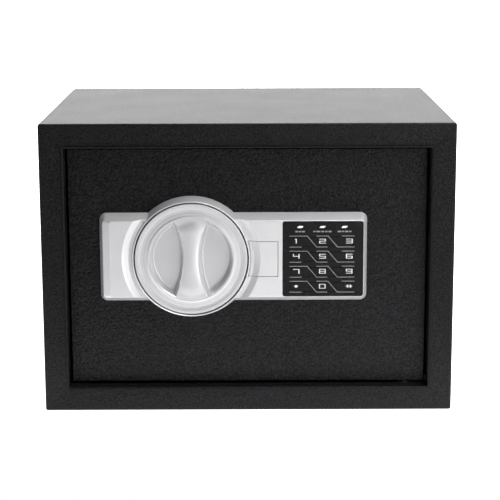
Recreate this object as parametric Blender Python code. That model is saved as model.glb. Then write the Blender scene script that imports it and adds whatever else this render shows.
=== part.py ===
"""A small electronic safe for a home or an office: a folded steel body, a recessed door on a concealed
hinge, a round turn knob that throws two bolts, a keypad that frees a solenoid lock, and an emergency key
lock behind a cover.

Metres, +Z up. The origin is the middle of the base and the door faces -Y. Everything is at rest: the door
is shut, the bolts are drawn in, the grip of the knob is upright and the keys are out.
"""

import math

import bmesh
import bpy
from mathutils import Vector

# Fits
TOUCH = 0.0003  # between pieces that bear on each other
RUN = 0.0004  # each side of a piece that turns or slides
DOOR_GAP = 0.002  # door edge to opening, all round
SWING_CLEAR = 0.0004  # hinge edge of the door to the opening as it swings past

# Body
WIDTH = 0.350
HEIGHT = 0.250
DEPTH = 0.250
SHEET = 0.002
FOLD_RADIUS = 0.002
FRAME_WIDTH = 0.021
LIP_DEPTH = 0.012  # the frame's return round the opening
OPENING_EDGE = 0.0015
SHARP = 0.0004  # radius of a corner folded sharp
ANCHOR_RADIUS = 0.0055
ANCHOR_SPREAD = 0.080  # anchor hole to the middle
ANCHOR_RISE = 0.030  # wall anchors above the middle of the back
MAT_THICKNESS = 0.003
MAT_INSET = 0.004

# Door and hinge
DOOR_RECESS = 0.011
DOOR_PLATE = 0.003
DOOR_EDGE = 0.0005
PIN_RADIUS = 0.003
PIN_HEAD = 0.0045
LUG_WALL = 0.0006  # lug metal between the pin and the door plate
LUG_HALF = 0.007
LUG_HEIGHT = 0.014
HINGE_SHEET = 0.003
HINGE_LEG = 0.012

# Fascia
FASCIA_LEFT = 0.026  # from the door's left edge
FASCIA_WIDTH = 0.2275
FASCIA_HEIGHT = 0.0768
FASCIA_CORNER = 0.006
FACE_CORNER = 0.0024
SIDE_DRAFT = 0.0053  # slope of the top and bottom walls
RIGHT_DRAFT = 0.0032
LEFT_DRAFT = 0.0039
BAND_WIDTH = 0.0050  # shallow band along the left end of the face
BAND_DROP = 0.0017
FACE_EDGE = 0.0004
FACE_THICKNESS = 0.0025
FASCIA_WALL = 0.0022
LOCK_RISE = 0.009  # middle of the fascia above the middle of the door

# Knob and the boss round it
KNOB_FROM_LEFT = 0.078  # from the fascia's left end
KNOB_RADIUS = 0.0477
BOSS_GAP = 0.0012
BOSS_LIP = 0.0009
BOSS_DRAFT = 0.0030
MOAT_WIDTH = 0.0032
MOAT_SLOPE = 0.0049
MOAT_DEPTH = 0.0024
KNOB_FLOAT = 0.0006  # knob to door plate
RIM_EDGE = 0.0006
RIDGE_RADIUS = 0.0365  # raised ring between the rim and the grip
RIDGE_HALF = 0.0015
RIDGE_RISE = 0.0004
DISH_DEPTH = 0.0007
GRIP_RISE = 0.0012
FINGER_RADIUS = 0.035
FINGER_ARC = 0.079  # radius of the grip's hollow side
GRIP_HALF = 0.0068  # half the grip's waist
FINGER_FLOOR = 0.0017
FINGER_DRAFT = 0.0024
ROUND_SIDES = 64

# Keypad
PAD_WIDTH = 0.0686
PAD_HEIGHT = 0.0654
PAD_CORNER = 0.0020
PAD_THICKNESS = 0.0007
PAD_POCKET = 0.0011
LEDGE = 0.0030
KEY_COLUMNS = 3
FIRST_ROW = 0.0128  # top of the pad to the top of the first row
ROW_PITCH = 0.0131
ROW_HEIGHT = 0.0095
ROW_LEFT = 0.0061
ROW_RIGHT = 0.0610
SLANTS = (0.0210, 0.0386)  # top ends of the two slanting divisions, from the pad's left
LEAN = 0.0080  # how far a slant runs to the right down one row
KEY_MARGIN = 0.0009
SLANT_MARGIN = 0.0015
KEY_FLANGE = 0.0006
KEY_TRAVEL = 0.0006
BOARD_THICKNESS = 0.0014
LAMP_WIDTH = 0.0053
LAMP_HEIGHT = 0.0024
LAMP_DROP = 0.0050
LAMP_ACROSS = (0.0151, 0.0339, 0.0525)

# Emergency lock
KEY_COVER_RIGHT = 0.1513  # from the fascia's left end
KEY_COVER_SQUARE = 0.0187
KEY_COVER_HEIGHT = 0.0301
KEY_COVER_DEPTH = 0.005
GROOVE = 0.0006
CYLINDER_RADIUS = 0.0085
CYLINDER_NUT = 0.012
NUT_THICKNESS = 0.003
PLUG_RADIUS = 0.0055
CAM_LENGTH = 0.016
CAM_HALF = 0.005
CAM_SHEET = 0.002
KEYWAY_WIDTH = 0.0015
KEYWAY_HEIGHT = 0.0072

# Bolt work
BOLT_RADIUS = 0.008
BOLT_SPREAD = 0.046  # bolt to the knob's axis, up or down
BOLT_TIP = 0.001  # drawn-in bolt inside the door's edge
THROW = 0.014
GUIDE_SHEET = 0.003
GUIDE_INSET = 0.006  # guide to the door's left edge
GUIDE_FOOT = 0.010
CARRIAGE_SHEET = 0.0025
ARM_HALF = 0.016
STUD_RADIUS = 0.003
STUD_HEAD = 0.0055
STUDS = (0.021, 0.049)  # from the carriage's flange
SPINDLE_RADIUS = 0.005
SOCKET_DEPTH = 0.0052
CRANK_RADIUS = 0.0135
CRANK_PIN = 0.0025
CRANK_SLACK = 0.0006  # the pin follows an arc while the carriage runs straight
CRANK_ANGLE = math.radians(45)

# Solenoid
SOLENOID_LEFT = 0.019  # from the knob's axis
SOLENOID_HALF = 0.012
SOLENOID_HEIGHT = 0.028
SOLENOID_SHEET = 0.0025
PLUNGER_RADIUS = 0.003
PLUNGER_LENGTH = 0.026
PLUNGER_TRAVEL = 0.008
TAB_HALF = 0.0025
TAB_DROP = 0.008

# Inside of the door
COVER_SHEET = 0.0015
COVER_EDGE = 0.002
COVER_RIGHT = 0.0015  # from the fascia's right end
COVER_BELOW = 0.072  # from the knob's axis
COVER_ABOVE = 0.070
EAR = 0.012
EARS = (0.022, 0.222)  # from the cover's left edge
SCREW_RADIUS = 0.0015
SCREW_HEAD = 0.0035
CELL_RADIUS = 0.00725  # AA cell
CELL_LENGTH = 0.0505
CELL_PITCH = 0.0153
CELLS = 4
HOLDER_WALL = 0.0015
HOLDER_RIGHT = 0.0065  # from the fascia's right end
HOLDER_TOP = 0.0002  # above the knob's axis
CONTACT_ROOM = 0.0037
BATTERY_RIM = 0.0016
PCB_WIDTH = 0.066
PCB_BELOW = 0.010  # lower edge above the knob's axis
PCB_ABOVE = 0.062
RESET_RADIUS = 0.0035
RESET_FLANGE = 0.005
RESET_TRAVEL = 0.0015
RESET_FROM_CORNER = 0.014
WIRE_RADIUS = 0.0018
LEAD_RADIUS = 0.0012

# Planes and places worked out from the sizes above
FRONT = -DEPTH / 2
BACK = DEPTH / 2
DOOR_RIGHT = WIDTH / 2 - FRAME_WIDTH - DOOR_GAP
DOOR_LEFT = -DOOR_RIGHT
DOOR_LOW = FRAME_WIDTH + DOOR_GAP
DOOR_HIGH = HEIGHT - DOOR_LOW
DOOR_FACE = FRONT + DOOR_RECESS
DOOR_BACK = DOOR_FACE + DOOR_PLATE
SEAT = DOOR_BACK + TOUCH  # where pieces stand on the back of the door
LOCK_Z = HEIGHT / 2 + LOCK_RISE

HINGE_Y = SEAT + LUG_WALL + RUN + PIN_RADIUS
SWING = HINGE_Y - DOOR_FACE
SLACK = DOOR_GAP - SWING_CLEAR
HINGE_X = DOOR_RIGHT - (SWING**2 - SLACK**2) / (2 * SLACK)

FASCIA_X0 = DOOR_LEFT + FASCIA_LEFT
FASCIA_X1 = FASCIA_X0 + FASCIA_WIDTH
FASCIA_BASE = DOOR_FACE - TOUCH
KNOB_X = FASCIA_X0 + KNOB_FROM_LEFT
WELL_RADIUS = KNOB_RADIUS + BOSS_GAP
LIP_RADIUS = WELL_RADIUS + BOSS_LIP
KNOB_BACK = DOOR_FACE - KNOB_FLOAT

PAD_X1 = FASCIA_X1 - RIGHT_DRAFT - FACE_EDGE
PAD_X0 = PAD_X1 - PAD_WIDTH
PAD_TOP = LOCK_Z + PAD_HEIGHT / 2
PAD_FACE = FRONT + 0.0001
PAD_BACK = PAD_FACE + PAD_THICKNESS
BOARD_FACE = PAD_BACK + TOUCH + 0.0008 + KEY_TRAVEL + TOUCH

KEY_COVER_X1 = FASCIA_X0 + KEY_COVER_RIGHT
LOCK_X = KEY_COVER_X1 - KEY_COVER_SQUARE / 2
LOCK_FACE = FRONT + KEY_COVER_DEPTH + 0.0005

BOLT_Y = SEAT + GUIDE_SHEET + 0.0012 + BOLT_RADIUS
GUIDE_X0 = DOOR_LEFT + GUIDE_INSET
GUIDE_X1 = GUIDE_X0 + GUIDE_SHEET
FLANGE_X0 = GUIDE_X1 + 0.0005 + THROW
FLANGE_X1 = FLANGE_X0 + CARRIAGE_SHEET
CARRIAGE_FRONT = BOLT_Y - CARRIAGE_SHEET / 2
CARRIAGE_BACK = BOLT_Y + CARRIAGE_SHEET / 2
CRANK_BACK = CARRIAGE_FRONT - 0.002
CRANK_FRONT = CRANK_BACK - CARRIAGE_SHEET
CRANK_ARM = THROW / 2 / math.sin(CRANK_ANGLE)
SOLENOID_X = KNOB_X - SOLENOID_LEFT
TAB_X = SOLENOID_X + THROW / 2
PLUNGER_TOP = LOCK_Z - ARM_HALF - TAB_DROP - 0.002

COVER_X0 = GUIDE_X1 + TOUCH
COVER_X1 = FASCIA_X1 - COVER_RIGHT
COVER_LOW = LOCK_Z - COVER_BELOW
COVER_HIGH = LOCK_Z + COVER_ABOVE
COVER_BACK = BOLT_Y + BOLT_RADIUS + 0.0055 + COVER_SHEET
HOLDER_X1 = FASCIA_X1 - HOLDER_RIGHT
HOLDER_X0 = HOLDER_X1 - CELL_LENGTH - 2 * CONTACT_ROOM - 2 * HOLDER_WALL
HOLDER_HIGH = LOCK_Z + HOLDER_TOP
HOLDER_LOW = HOLDER_HIGH - CELLS * CELL_PITCH - 2 * HOLDER_WALL
CELL_Y = SEAT + HOLDER_WALL + TOUCH + CELL_RADIUS
PCB_X1 = HOLDER_X1 + 0.001
PCB_X0 = PCB_X1 - PCB_WIDTH
PCB_FACE = SEAT + 0.006
RESET_X = PCB_X1 - RESET_FROM_CORNER
RESET_Z = LOCK_Z + PCB_ABOVE - RESET_FROM_CORNER

AXES = {
    "X": (Vector((1, 0, 0)), Vector((0, 1, 0)), Vector((0, 0, 1))),
    "Y": (Vector((0, 1, 0)), Vector((1, 0, 0)), Vector((0, 0, 1))),
    "Z": (Vector((0, 0, 1)), Vector((1, 0, 0)), Vector((0, 1, 0))),
}


# Shapes


def at(axis, along, across, up):
    """A point by its distances along an axis and over the plane square to it."""
    a, u, v = AXES[axis]
    return a * along + u * across + v * up


def rectangle(left, right, low, high, radius=0.0, steps=3):
    """The outline of a rectangle, with round corners where a radius is given."""
    if not radius:
        return [(left, low), (right, low), (right, high), (left, high)]
    corners = (
        (right - radius, low + radius, -90),
        (right - radius, high - radius, 0),
        (left + radius, high - radius, 90),
        (left + radius, low + radius, 180),
    )
    outline = []
    for x, z, start in corners:
        for step in range(steps + 1):
            angle = math.radians(start + 90 * step / steps)
            outline.append((x + radius * math.cos(angle), z + radius * math.sin(angle)))
    return outline


def circle(x, z, radius, sides=24):
    turns = (2 * math.pi * i / sides for i in range(sides))
    return [(x + radius * math.cos(a), z + radius * math.sin(a)) for a in turns]


def mirrored(outline, middle):
    """The outline turned upside down about a height."""
    return [(x, 2 * middle - z) for x, z in outline]


def loft(rings, ring_shaped=False):
    """A solid through rings of points: capped at both ends, or joined from the last back to the first."""
    mesh = bmesh.new()
    loops = [[mesh.verts.new(point) for point in ring] for ring in rings]
    following = loops[1:] + loops[:1] if ring_shaped else loops[1:]
    for here, there in zip(loops, following):
        for i in range(len(here)):
            j = (i + 1) % len(here)
            mesh.faces.new((here[i], here[j], there[j], there[i]))
    if not ring_shaped:
        mesh.faces.new(loops[0])
        mesh.faces.new(loops[-1])
    return mesh


def prism(outline, axis, start, end):
    """An outline extruded along an axis."""
    mesh = bmesh.new()
    base = mesh.faces.new([mesh.verts.new(at(axis, start, u, v)) for u, v in outline])
    made = bmesh.ops.extrude_face_region(mesh, geom=[base])["geom"]
    moved = [item for item in made if isinstance(item, bmesh.types.BMVert)]
    bmesh.ops.translate(mesh, verts=moved, vec=at(axis, end - start, 0, 0))
    return mesh


def block(x0, x1, y0, y1, z0, z1):
    return prism(rectangle(x0, x1, z0, z1), "Y", y0, y1)


def turned(profile, centre, axis, sides=24, hollow=False):
    """A profile of (radius, distance along) turned about an axis. A solid one starts and ends on the axis."""
    mesh = bmesh.new()
    a, u, _ = AXES[axis]
    points = [mesh.verts.new(centre + a * along + u * radius) for radius, along in profile]
    following = points[1:] + points[:1] if hollow else points[1:]
    edges = [mesh.edges.new(pair) for pair in zip(points, following)]
    bmesh.ops.spin(
        mesh,
        geom=points + edges,
        cent=centre,
        axis=a,
        angle=2 * math.pi,
        steps=sides,
        use_merge=True,
    )
    bmesh.ops.remove_doubles(mesh, verts=mesh.verts, dist=1e-6)
    return mesh


def rod(radius, start, end, centre, axis, sides=24, chamfer=0.0):
    """A round rod, with its far end chamfered where asked."""
    profile = [(0, start), (radius, start)]
    if chamfer:
        step = math.copysign(chamfer, end - start)
        profile += [(radius, end - step), (radius - chamfer, end)]
    else:
        profile += [(radius, end)]
    return turned(profile + [(0, end)], centre, axis, sides)


def tube(inner, outer, start, end, centre, axis, sides=24):
    profile = [(inner, start), (outer, start), (outer, end), (inner, end)]
    return turned(profile, centre, axis, sides, hollow=True)


# Objects


def material(name, colour, roughness, metallic=0.0):
    look = bpy.data.materials.new(name)
    look.use_nodes = True
    shader = look.node_tree.nodes["Principled BSDF"]
    shader.inputs["Base Color"].default_value = (*colour, 1)
    shader.inputs["Roughness"].default_value = roughness
    shader.inputs["Metallic"].default_value = metallic
    look.diffuse_color = (*colour, 1)
    return look


def pivot(name, place, parent=None):
    """An empty on a joint's axis, which carries the pieces that move with it."""
    empty = bpy.data.objects.new(name, None)
    bpy.context.scene.collection.objects.link(empty)
    empty.empty_display_size = 0.02
    empty.parent = parent
    home = parent["home"] if parent else (0, 0, 0)
    empty.location = Vector(place) - Vector(home)
    empty["home"] = tuple(place)
    return empty


def add(name, mesh, look, parent):
    """An object made of a mesh drawn in place, with its origin at its parent's."""
    bmesh.ops.recalc_face_normals(mesh, faces=mesh.faces)
    bmesh.ops.translate(mesh, verts=mesh.verts, vec=-Vector(parent["home"]))
    data = bpy.data.meshes.new(name)
    mesh.to_mesh(data)
    mesh.free()
    data.shade_smooth()
    data.set_sharp_from_angle(angle=math.radians(30))
    if look:
        data.materials.append(look)
    made = bpy.data.objects.new(name, data)
    bpy.context.scene.collection.objects.link(made)
    made.parent = parent
    return made


def shape(target, feature, mesh, operation="DIFFERENCE"):
    """Cuts a mesh drawn in place from the target, or joins it on."""
    tool = add(f"{target.name}.{feature}", mesh, None, target.parent)
    tool.hide_render = True
    tool.display_type = "WIRE"
    modifier = target.modifiers.new(feature, "BOOLEAN")
    modifier.operation = operation
    modifier.object = tool


def round_edges(target, width, segments=2):
    modifier = target.modifiers.new("edges", "BEVEL")
    modifier.width = width
    modifier.segments = segments
    modifier.limit_method = "ANGLE"


def wire(name, route, radius, look, parent):
    """A lead of round section along a smooth curve through the points of its route."""
    points = [Vector(point) - Vector(parent["home"]) for point in route]
    padded = [2 * points[0] - points[1], *points, 2 * points[-1] - points[-2]]
    smooth = []
    for before, start, end, after in zip(padded, padded[1:], padded[2:], padded[3:]):
        steps = max(2, round((end - start).length / (5 * radius)))
        for step in range(steps):
            t = step / steps
            bend = 2 * before - 5 * start + 4 * end - after
            twist = 3 * (start - end) + after - before
            smooth.append(start + t * (end - before + t * (bend + t * twist)) / 2)
    smooth.append(points[-1])
    data = bpy.data.curves.new(name, "CURVE")
    data.dimensions = "3D"
    data.bevel_depth = radius
    data.bevel_resolution = 2
    data.use_fill_caps = True
    data.materials.append(look)
    spline = data.splines.new("POLY")
    spline.points.add(len(smooth) - 1)
    for point, place in zip(spline.points, smooth):
        point.co = (*place, 1)
    made = bpy.data.objects.new(name, data)
    bpy.context.scene.collection.objects.link(made)
    made.parent = parent
    return made


# The body


def body_ring(inset, y, radius):
    half = WIDTH / 2 - inset
    outline = rectangle(-half, half, inset, HEIGHT - inset, radius)
    return [at("Y", y, x, z) for x, z in outline]


def quarter(radius, steps=3):
    """How far a round edge has gone in, and how far it still is from its end, from start to end."""
    for step in range(steps + 1):
        angle = math.pi / 2 * step / steps
        yield radius * (1 - math.cos(angle)), radius * (1 - math.sin(angle))


def build_shell(look, body):
    """Four walls, the front frame and its return lip, folded from one sheet."""
    rings = [body_ring(0, BACK, FOLD_RADIUS)]
    for inset, back in quarter(FOLD_RADIUS):
        rings.append(body_ring(inset, FRONT + back, max(FOLD_RADIUS - inset, SHARP)))
    for turn, back in reversed(list(quarter(OPENING_EDGE))):
        rings.append(body_ring(FRAME_WIDTH - back, FRONT + turn, SHARP))
    rings.append(body_ring(FRAME_WIDTH, FRONT + LIP_DEPTH, SHARP))
    rings.append(body_ring(FRAME_WIDTH - SHEET, FRONT + LIP_DEPTH, SHARP))
    rings.append(body_ring(FRAME_WIDTH - SHEET, FRONT + SHEET, SHARP))
    rings.append(body_ring(SHEET, FRONT + SHEET, SHARP))
    rings.append(body_ring(SHEET, BACK, SHARP))
    shell = add("cabinet_shell", loft(rings, ring_shaped=True), look, body)
    for side, x in (("left", -ANCHOR_SPREAD), ("right", ANCHOR_SPREAD)):
        hole = prism(circle(x, 0, ANCHOR_RADIUS), "Z", -SHEET, 2 * SHEET)
        shape(shell, f"{side}_anchor_hole", hole)


def build_back(look, body):
    """The back, welded inside the end of the walls."""
    inset = SHEET + TOUCH
    half = WIDTH / 2 - inset
    outline = rectangle(-half, half, inset, HEIGHT - inset, SHARP)
    panel = add("back_panel", prism(outline, "Y", BACK - SHEET, BACK), look, body)
    for side, x in (("left", -ANCHOR_SPREAD), ("right", ANCHOR_SPREAD)):
        hole = prism(circle(x, HEIGHT / 2 + ANCHOR_RISE, ANCHOR_RADIUS), "Y", BACK - 2 * SHEET, BACK + SHEET)
        shape(panel, f"{side}_anchor_hole", hole)


def build_mat(look, body):
    """The felt mat on the floor, punched over the floor anchors."""
    half = WIDTH / 2 - SHEET - MAT_INSET
    front = FRONT + LIP_DEPTH + MAT_INSET
    outline = rectangle(-half, half, front, BACK - SHEET - MAT_INSET, MAT_INSET)
    floor = SHEET + TOUCH
    mat = add("floor_mat", prism(outline, "Z", floor, floor + MAT_THICKNESS), look, body)
    for side, x in (("left", -ANCHOR_SPREAD), ("right", ANCHOR_SPREAD)):
        hole = prism(circle(x, 0, ANCHOR_RADIUS + SHEET), "Z", SHEET, floor + 2 * MAT_THICKNESS)
        shape(mat, f"{side}_anchor_hole", hole)


def build_hinge(steel, zinc, body, door):
    """At the top and the bottom: a bracket on the side wall, a pin in it, and a lug on the door."""
    wall = WIDTH / 2 - SHEET - TOUCH
    plate = HEIGHT - FRAME_WIDTH + TOUCH
    angle_section = [
        (HINGE_X - LUG_HALF, plate),
        (wall, plate),
        (wall, plate + HINGE_LEG),
        (wall - HINGE_SHEET, plate + HINGE_LEG),
        (wall - HINGE_SHEET, plate + HINGE_SHEET),
        (HINGE_X - LUG_HALF, plate + HINGE_SHEET),
    ]
    front = FRONT + LIP_DEPTH + TOUCH
    back = HINGE_Y + 2 * LUG_HALF
    lug_section = rectangle(HINGE_X - LUG_HALF, HINGE_X + LUG_HALF, SEAT, HINGE_Y + LUG_HALF, 0.0015)
    pin = [
        (0, DOOR_HIGH - LUG_HEIGHT),
        (PIN_RADIUS, DOOR_HIGH - LUG_HEIGHT),
        (PIN_RADIUS, plate + HINGE_SHEET + TOUCH),
        (PIN_HEAD, plate + HINGE_SHEET + TOUCH),
        (PIN_HEAD, plate + HINGE_SHEET + HINGE_SHEET / 2),
        (0, plate + HINGE_SHEET + HINGE_SHEET / 2),
    ]
    middle = HEIGHT / 2
    for end in ("upper", "lower"):
        flipped = end == "lower"
        section = mirrored(angle_section, middle) if flipped else angle_section
        bracket = add(f"{end}_hinge_bracket", prism(section, "Y", front, back), steel, body)
        profile = mirrored(pin, middle) if flipped else pin
        axis = Vector((HINGE_X, HINGE_Y, 0))
        add(f"{end}_hinge_pin", turned(profile, axis, "Z"), zinc, body)
        low, high = sorted(z for _, z in (profile[0], profile[-1]))
        shape(bracket, "pin_hole", rod(PIN_RADIUS + RUN, low, high + RUN, axis, "Z"))
        span = mirrored([(0, DOOR_HIGH - LUG_HEIGHT), (0, DOOR_HIGH)], middle if flipped else HEIGHT)
        if not flipped:
            span = [(0, DOOR_HIGH - LUG_HEIGHT), (0, DOOR_HIGH)]
        lug = add(f"{end}_hinge_lug", prism(lug_section, "Z", span[0][1], span[1][1]), steel, door)
        shape(lug, "pin_hole", rod(PIN_RADIUS + RUN, low - RUN, high, axis, "Z"))


# The door


def build_door_plate(look, door):
    outline = rectangle(DOOR_LEFT, DOOR_RIGHT, DOOR_LOW, DOOR_HIGH)
    plate = add("door_plate", prism(outline, "Y", DOOR_FACE, DOOR_BACK), look, door)
    round_edges(plate, DOOR_EDGE)
    through = (DOOR_FACE - DOOR_PLATE, DOOR_BACK + DOOR_PLATE)
    bush_hole = SPINDLE_RADIUS + DOOR_PLATE
    shape(plate, "bush_hole", prism(circle(KNOB_X, LOCK_Z, bush_hole), "Y", *through))
    lock_hole = CYLINDER_RADIUS + RUN
    shape(plate, "lock_hole", prism(circle(LOCK_X, LOCK_Z, lock_hole), "Y", *through))
    x, z = wire_hole()
    shape(plate, "wire_hole", prism(circle(x, z, 2 * WIRE_RADIUS), "Y", *through))
    blind = (DOOR_BACK - DOOR_PLATE * 2 / 3, DOOR_BACK + DOOR_PLATE)
    for number, (x, z) in enumerate(ear_places(), 1):
        shape(plate, f"screw_hole_{number}", prism(circle(x, z, SCREW_RADIUS + RUN, 12), "Y", *blind))


def fascia_ring(y, left, radius):
    """The fascia's outline at a depth, sloping in on all sides towards its face."""
    rise = (FASCIA_BASE - y) / (FASCIA_BASE - FRONT)
    side = FASCIA_HEIGHT / 2 - SIDE_DRAFT * rise
    right = FASCIA_X1 - RIGHT_DRAFT * rise
    outline = rectangle(FASCIA_X0 + left, right, LOCK_Z - side, LOCK_Z + side, radius, 4)
    return [at("Y", y, x, z) for x, z in outline]


def boss_cone(grow=0.0, past=0.0):
    """The boss round the knob as a solid cone, grown sideways and carried past its two ends."""
    slope = BOSS_DRAFT / (FASCIA_BASE - FRONT)
    profile = [
        (0, FRONT - past),
        (LIP_RADIUS + grow - slope * past, FRONT - past),
        (LIP_RADIUS + grow + BOSS_DRAFT + slope * past, FASCIA_BASE + past),
        (0, FASCIA_BASE + past),
    ]
    return turned(profile, Vector((KNOB_X, 0, LOCK_Z)), "Y", ROUND_SIDES)


def moat():
    """The hollow round the boss in the fascia's face."""
    floor = FRONT + MOAT_DEPTH
    inner = LIP_RADIUS + BOSS_DRAFT * MOAT_DEPTH / (FASCIA_BASE - FRONT)
    outer = inner + MOAT_WIDTH
    profile = [
        (WELL_RADIUS, FRONT - MOAT_DEPTH),
        (WELL_RADIUS, floor),
        (outer, floor),
        (outer + 2 * MOAT_SLOPE, FRONT - MOAT_DEPTH),
    ]
    return turned(profile, Vector((KNOB_X, 0, LOCK_Z)), "Y", ROUND_SIDES, hollow=True)


def pad_box(inset, y0, y1, radius=0.0):
    outline = rectangle(
        PAD_X0 + inset,
        PAD_X1 - inset,
        LOCK_Z - PAD_HEIGHT / 2 + inset,
        LOCK_Z + PAD_HEIGHT / 2 - inset,
        radius,
    )
    return prism(outline, "Y", y0, y1)


def build_fascia(look, door):
    """The silver moulding: hollow behind the keypad and at its left end, with a well for the knob."""
    band = FRONT + BAND_DROP
    slope = LEFT_DRAFT / (FASCIA_BASE - FRONT)
    band_left = slope * (FASCIA_BASE - band)
    rings = [
        fascia_ring(FASCIA_BASE, 0, FASCIA_CORNER),
        fascia_ring(band, band_left, FACE_CORNER + 2 * FACE_EDGE),
        fascia_ring(FRONT + FACE_EDGE, band_left + BAND_WIDTH, FACE_CORNER + FACE_EDGE),
        fascia_ring(FRONT, band_left + BAND_WIDTH + FACE_EDGE, FACE_CORNER),
    ]
    fascia = add("fascia", loft(rings), look, door)
    ceiling = FRONT + FACE_THICKNESS
    behind = FASCIA_BASE + FASCIA_WALL
    shape(fascia, "keypad_hollow", pad_box(FASCIA_WALL / 2, ceiling, behind))
    shape(fascia, "keypad_pocket", pad_box(-TOUCH / 2, FRONT - FACE_EDGE, FRONT + PAD_POCKET, PAD_CORNER))
    shape(fascia, "keypad_window", pad_box(LEDGE, FRONT - FACE_EDGE, behind))
    end_hollow = block(
        FASCIA_X0 + LEFT_DRAFT + FASCIA_WALL,
        KNOB_X - LIP_RADIUS - BOSS_DRAFT - FASCIA_WALL,
        ceiling + BAND_DROP,
        behind,
        LOCK_Z - FASCIA_HEIGHT / 2 + SIDE_DRAFT + FASCIA_WALL,
        LOCK_Z + FASCIA_HEIGHT / 2 - SIDE_DRAFT - FASCIA_WALL,
    )
    shape(fascia, "end_hollow", end_hollow)
    shape(fascia, "key_window", key_opening(RUN, FRONT - FACE_EDGE, behind))
    shape(fascia, "moat", moat())
    shape(fascia, "boss", boss_cone(), "UNION")
    well = rod(WELL_RADIUS, FRONT - RIM_EDGE, behind, Vector((KNOB_X, 0, LOCK_Z)), "Y", ROUND_SIDES)
    shape(fascia, "well", well)


def key_opening(grow, y0, y1):
    """The box that the emergency lock's cover fills, from inside the boss to its right edge."""
    half = KEY_COVER_HEIGHT / 2 + grow
    inside_boss = KNOB_X + WELL_RADIUS - BOSS_GAP
    return block(inside_boss, KEY_COVER_X1 + grow, y0, y1, LOCK_Z - half, LOCK_Z + half)


def build_key_cover(look, cover):
    """The lift-off cover over the emergency lock. Its left end follows the boss and the moat."""
    made = add("key_cover", key_opening(0, FRONT, FRONT + KEY_COVER_DEPTH), look, cover)
    shape(made, "boss_clearance", boss_cone(RUN, RIM_EDGE))
    shape(made, "moat", moat())
    x = KEY_COVER_X1 - KEY_COVER_SQUARE
    half = KEY_COVER_HEIGHT
    groove = block(x - GROOVE, x, FRONT - GROOVE, FRONT + GROOVE, LOCK_Z - half, LOCK_Z + half)
    shape(made, "groove", groove)


# The keypad


def pad_across(column, row, drop, side, grow):
    """How far a key's left or right edge is from the pad's left, at a drop below the row's top."""
    lean = LEAN * drop / ROW_HEIGHT
    if side == "left":
        if column == 0:
            return ROW_LEFT + KEY_MARGIN - grow
        return SLANTS[column - 1] + lean + SLANT_MARGIN - grow
    if column == KEY_COLUMNS - 1:
        return ROW_RIGHT - KEY_MARGIN + grow
    return SLANTS[column] + lean - SLANT_MARGIN + grow


def key_outline(column, row, grow=0.0):
    """A key's four corners. The middle column leans, and its neighbours lean where they meet it."""
    top = KEY_MARGIN - grow
    bottom = ROW_HEIGHT - KEY_MARGIN + grow
    corners = ((bottom, "left"), (bottom, "right"), (top, "right"), (top, "left"))
    outline = []
    for drop, side in corners:
        x = PAD_X0 + pad_across(column, row, drop, side, grow)
        outline.append((x, PAD_TOP - FIRST_ROW - ROW_PITCH * row - drop))
    return outline


def lamp_outline(across, grow=0.0):
    x = PAD_X0 + across
    z = PAD_TOP - LAMP_DROP
    half = LAMP_WIDTH / 2 + grow
    rise = LAMP_HEIGHT / 2 + grow
    return rectangle(x - half, x + half, z - rise, z + rise, LAMP_HEIGHT / 4)


def build_keypad(gloss, lens, board_look, key_names, door):
    overlay = add("keypad_panel", pad_box(TOUCH / 2, PAD_FACE, PAD_BACK, PAD_CORNER), gloss, door)
    through = (PAD_FACE - PAD_THICKNESS, PAD_BACK + PAD_THICKNESS)
    for name, (column, row) in key_names.items():
        shape(overlay, f"{name}_window", prism(key_outline(column, row, TOUCH), "Y", *through))
    for number, across in enumerate(LAMP_ACROSS, 1):
        shape(overlay, f"lamp_window_{number}", prism(lamp_outline(across, TOUCH / 2), "Y", *through))
    z = PAD_TOP - LAMP_DROP
    bar = block(
        PAD_X0 + LEDGE + FASCIA_WALL,
        PAD_X1 - LEDGE - FASCIA_WALL,
        PAD_BACK + TOUCH,
        BOARD_FACE - TOUCH,
        z - LAMP_HEIGHT / 2 - RUN,
        z + LAMP_HEIGHT / 2 + RUN,
    )
    lamps = add("lamp_bar", bar, lens, door)
    for number, across in enumerate(LAMP_ACROSS, 1):
        lens_shape = prism(lamp_outline(across), "Y", PAD_FACE, BOARD_FACE - 2 * TOUCH)
        shape(lamps, f"lens_{number}", lens_shape, "UNION")
    board = pad_box(LEDGE + TOUCH, BOARD_FACE, BOARD_FACE + BOARD_THICKNESS)
    add("keypad_board", board, board_look, door)


def build_keys(look, key_names, door):
    """Twelve caps. Each shows through its window and is held in by a flange behind the panel."""
    flange_face = PAD_BACK + TOUCH
    back = BOARD_FACE - TOUCH - KEY_TRAVEL
    for name, (column, row) in key_names.items():
        cap = key_outline(column, row)
        centre = [sum(values) / len(cap) for values in zip(*cap)]
        carrier = pivot(f"{name}_travel", (centre[0], PAD_FACE, centre[1]), door)
        flange = key_outline(column, row, KEY_FLANGE)
        steps = ((PAD_FACE, cap), (flange_face, cap), (flange_face, flange), (back, flange))
        rings = [[at("Y", y, x, z) for x, z in outline] for y, outline in steps]
        add(name, loft(rings), look, carrier)


# The emergency lock


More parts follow.
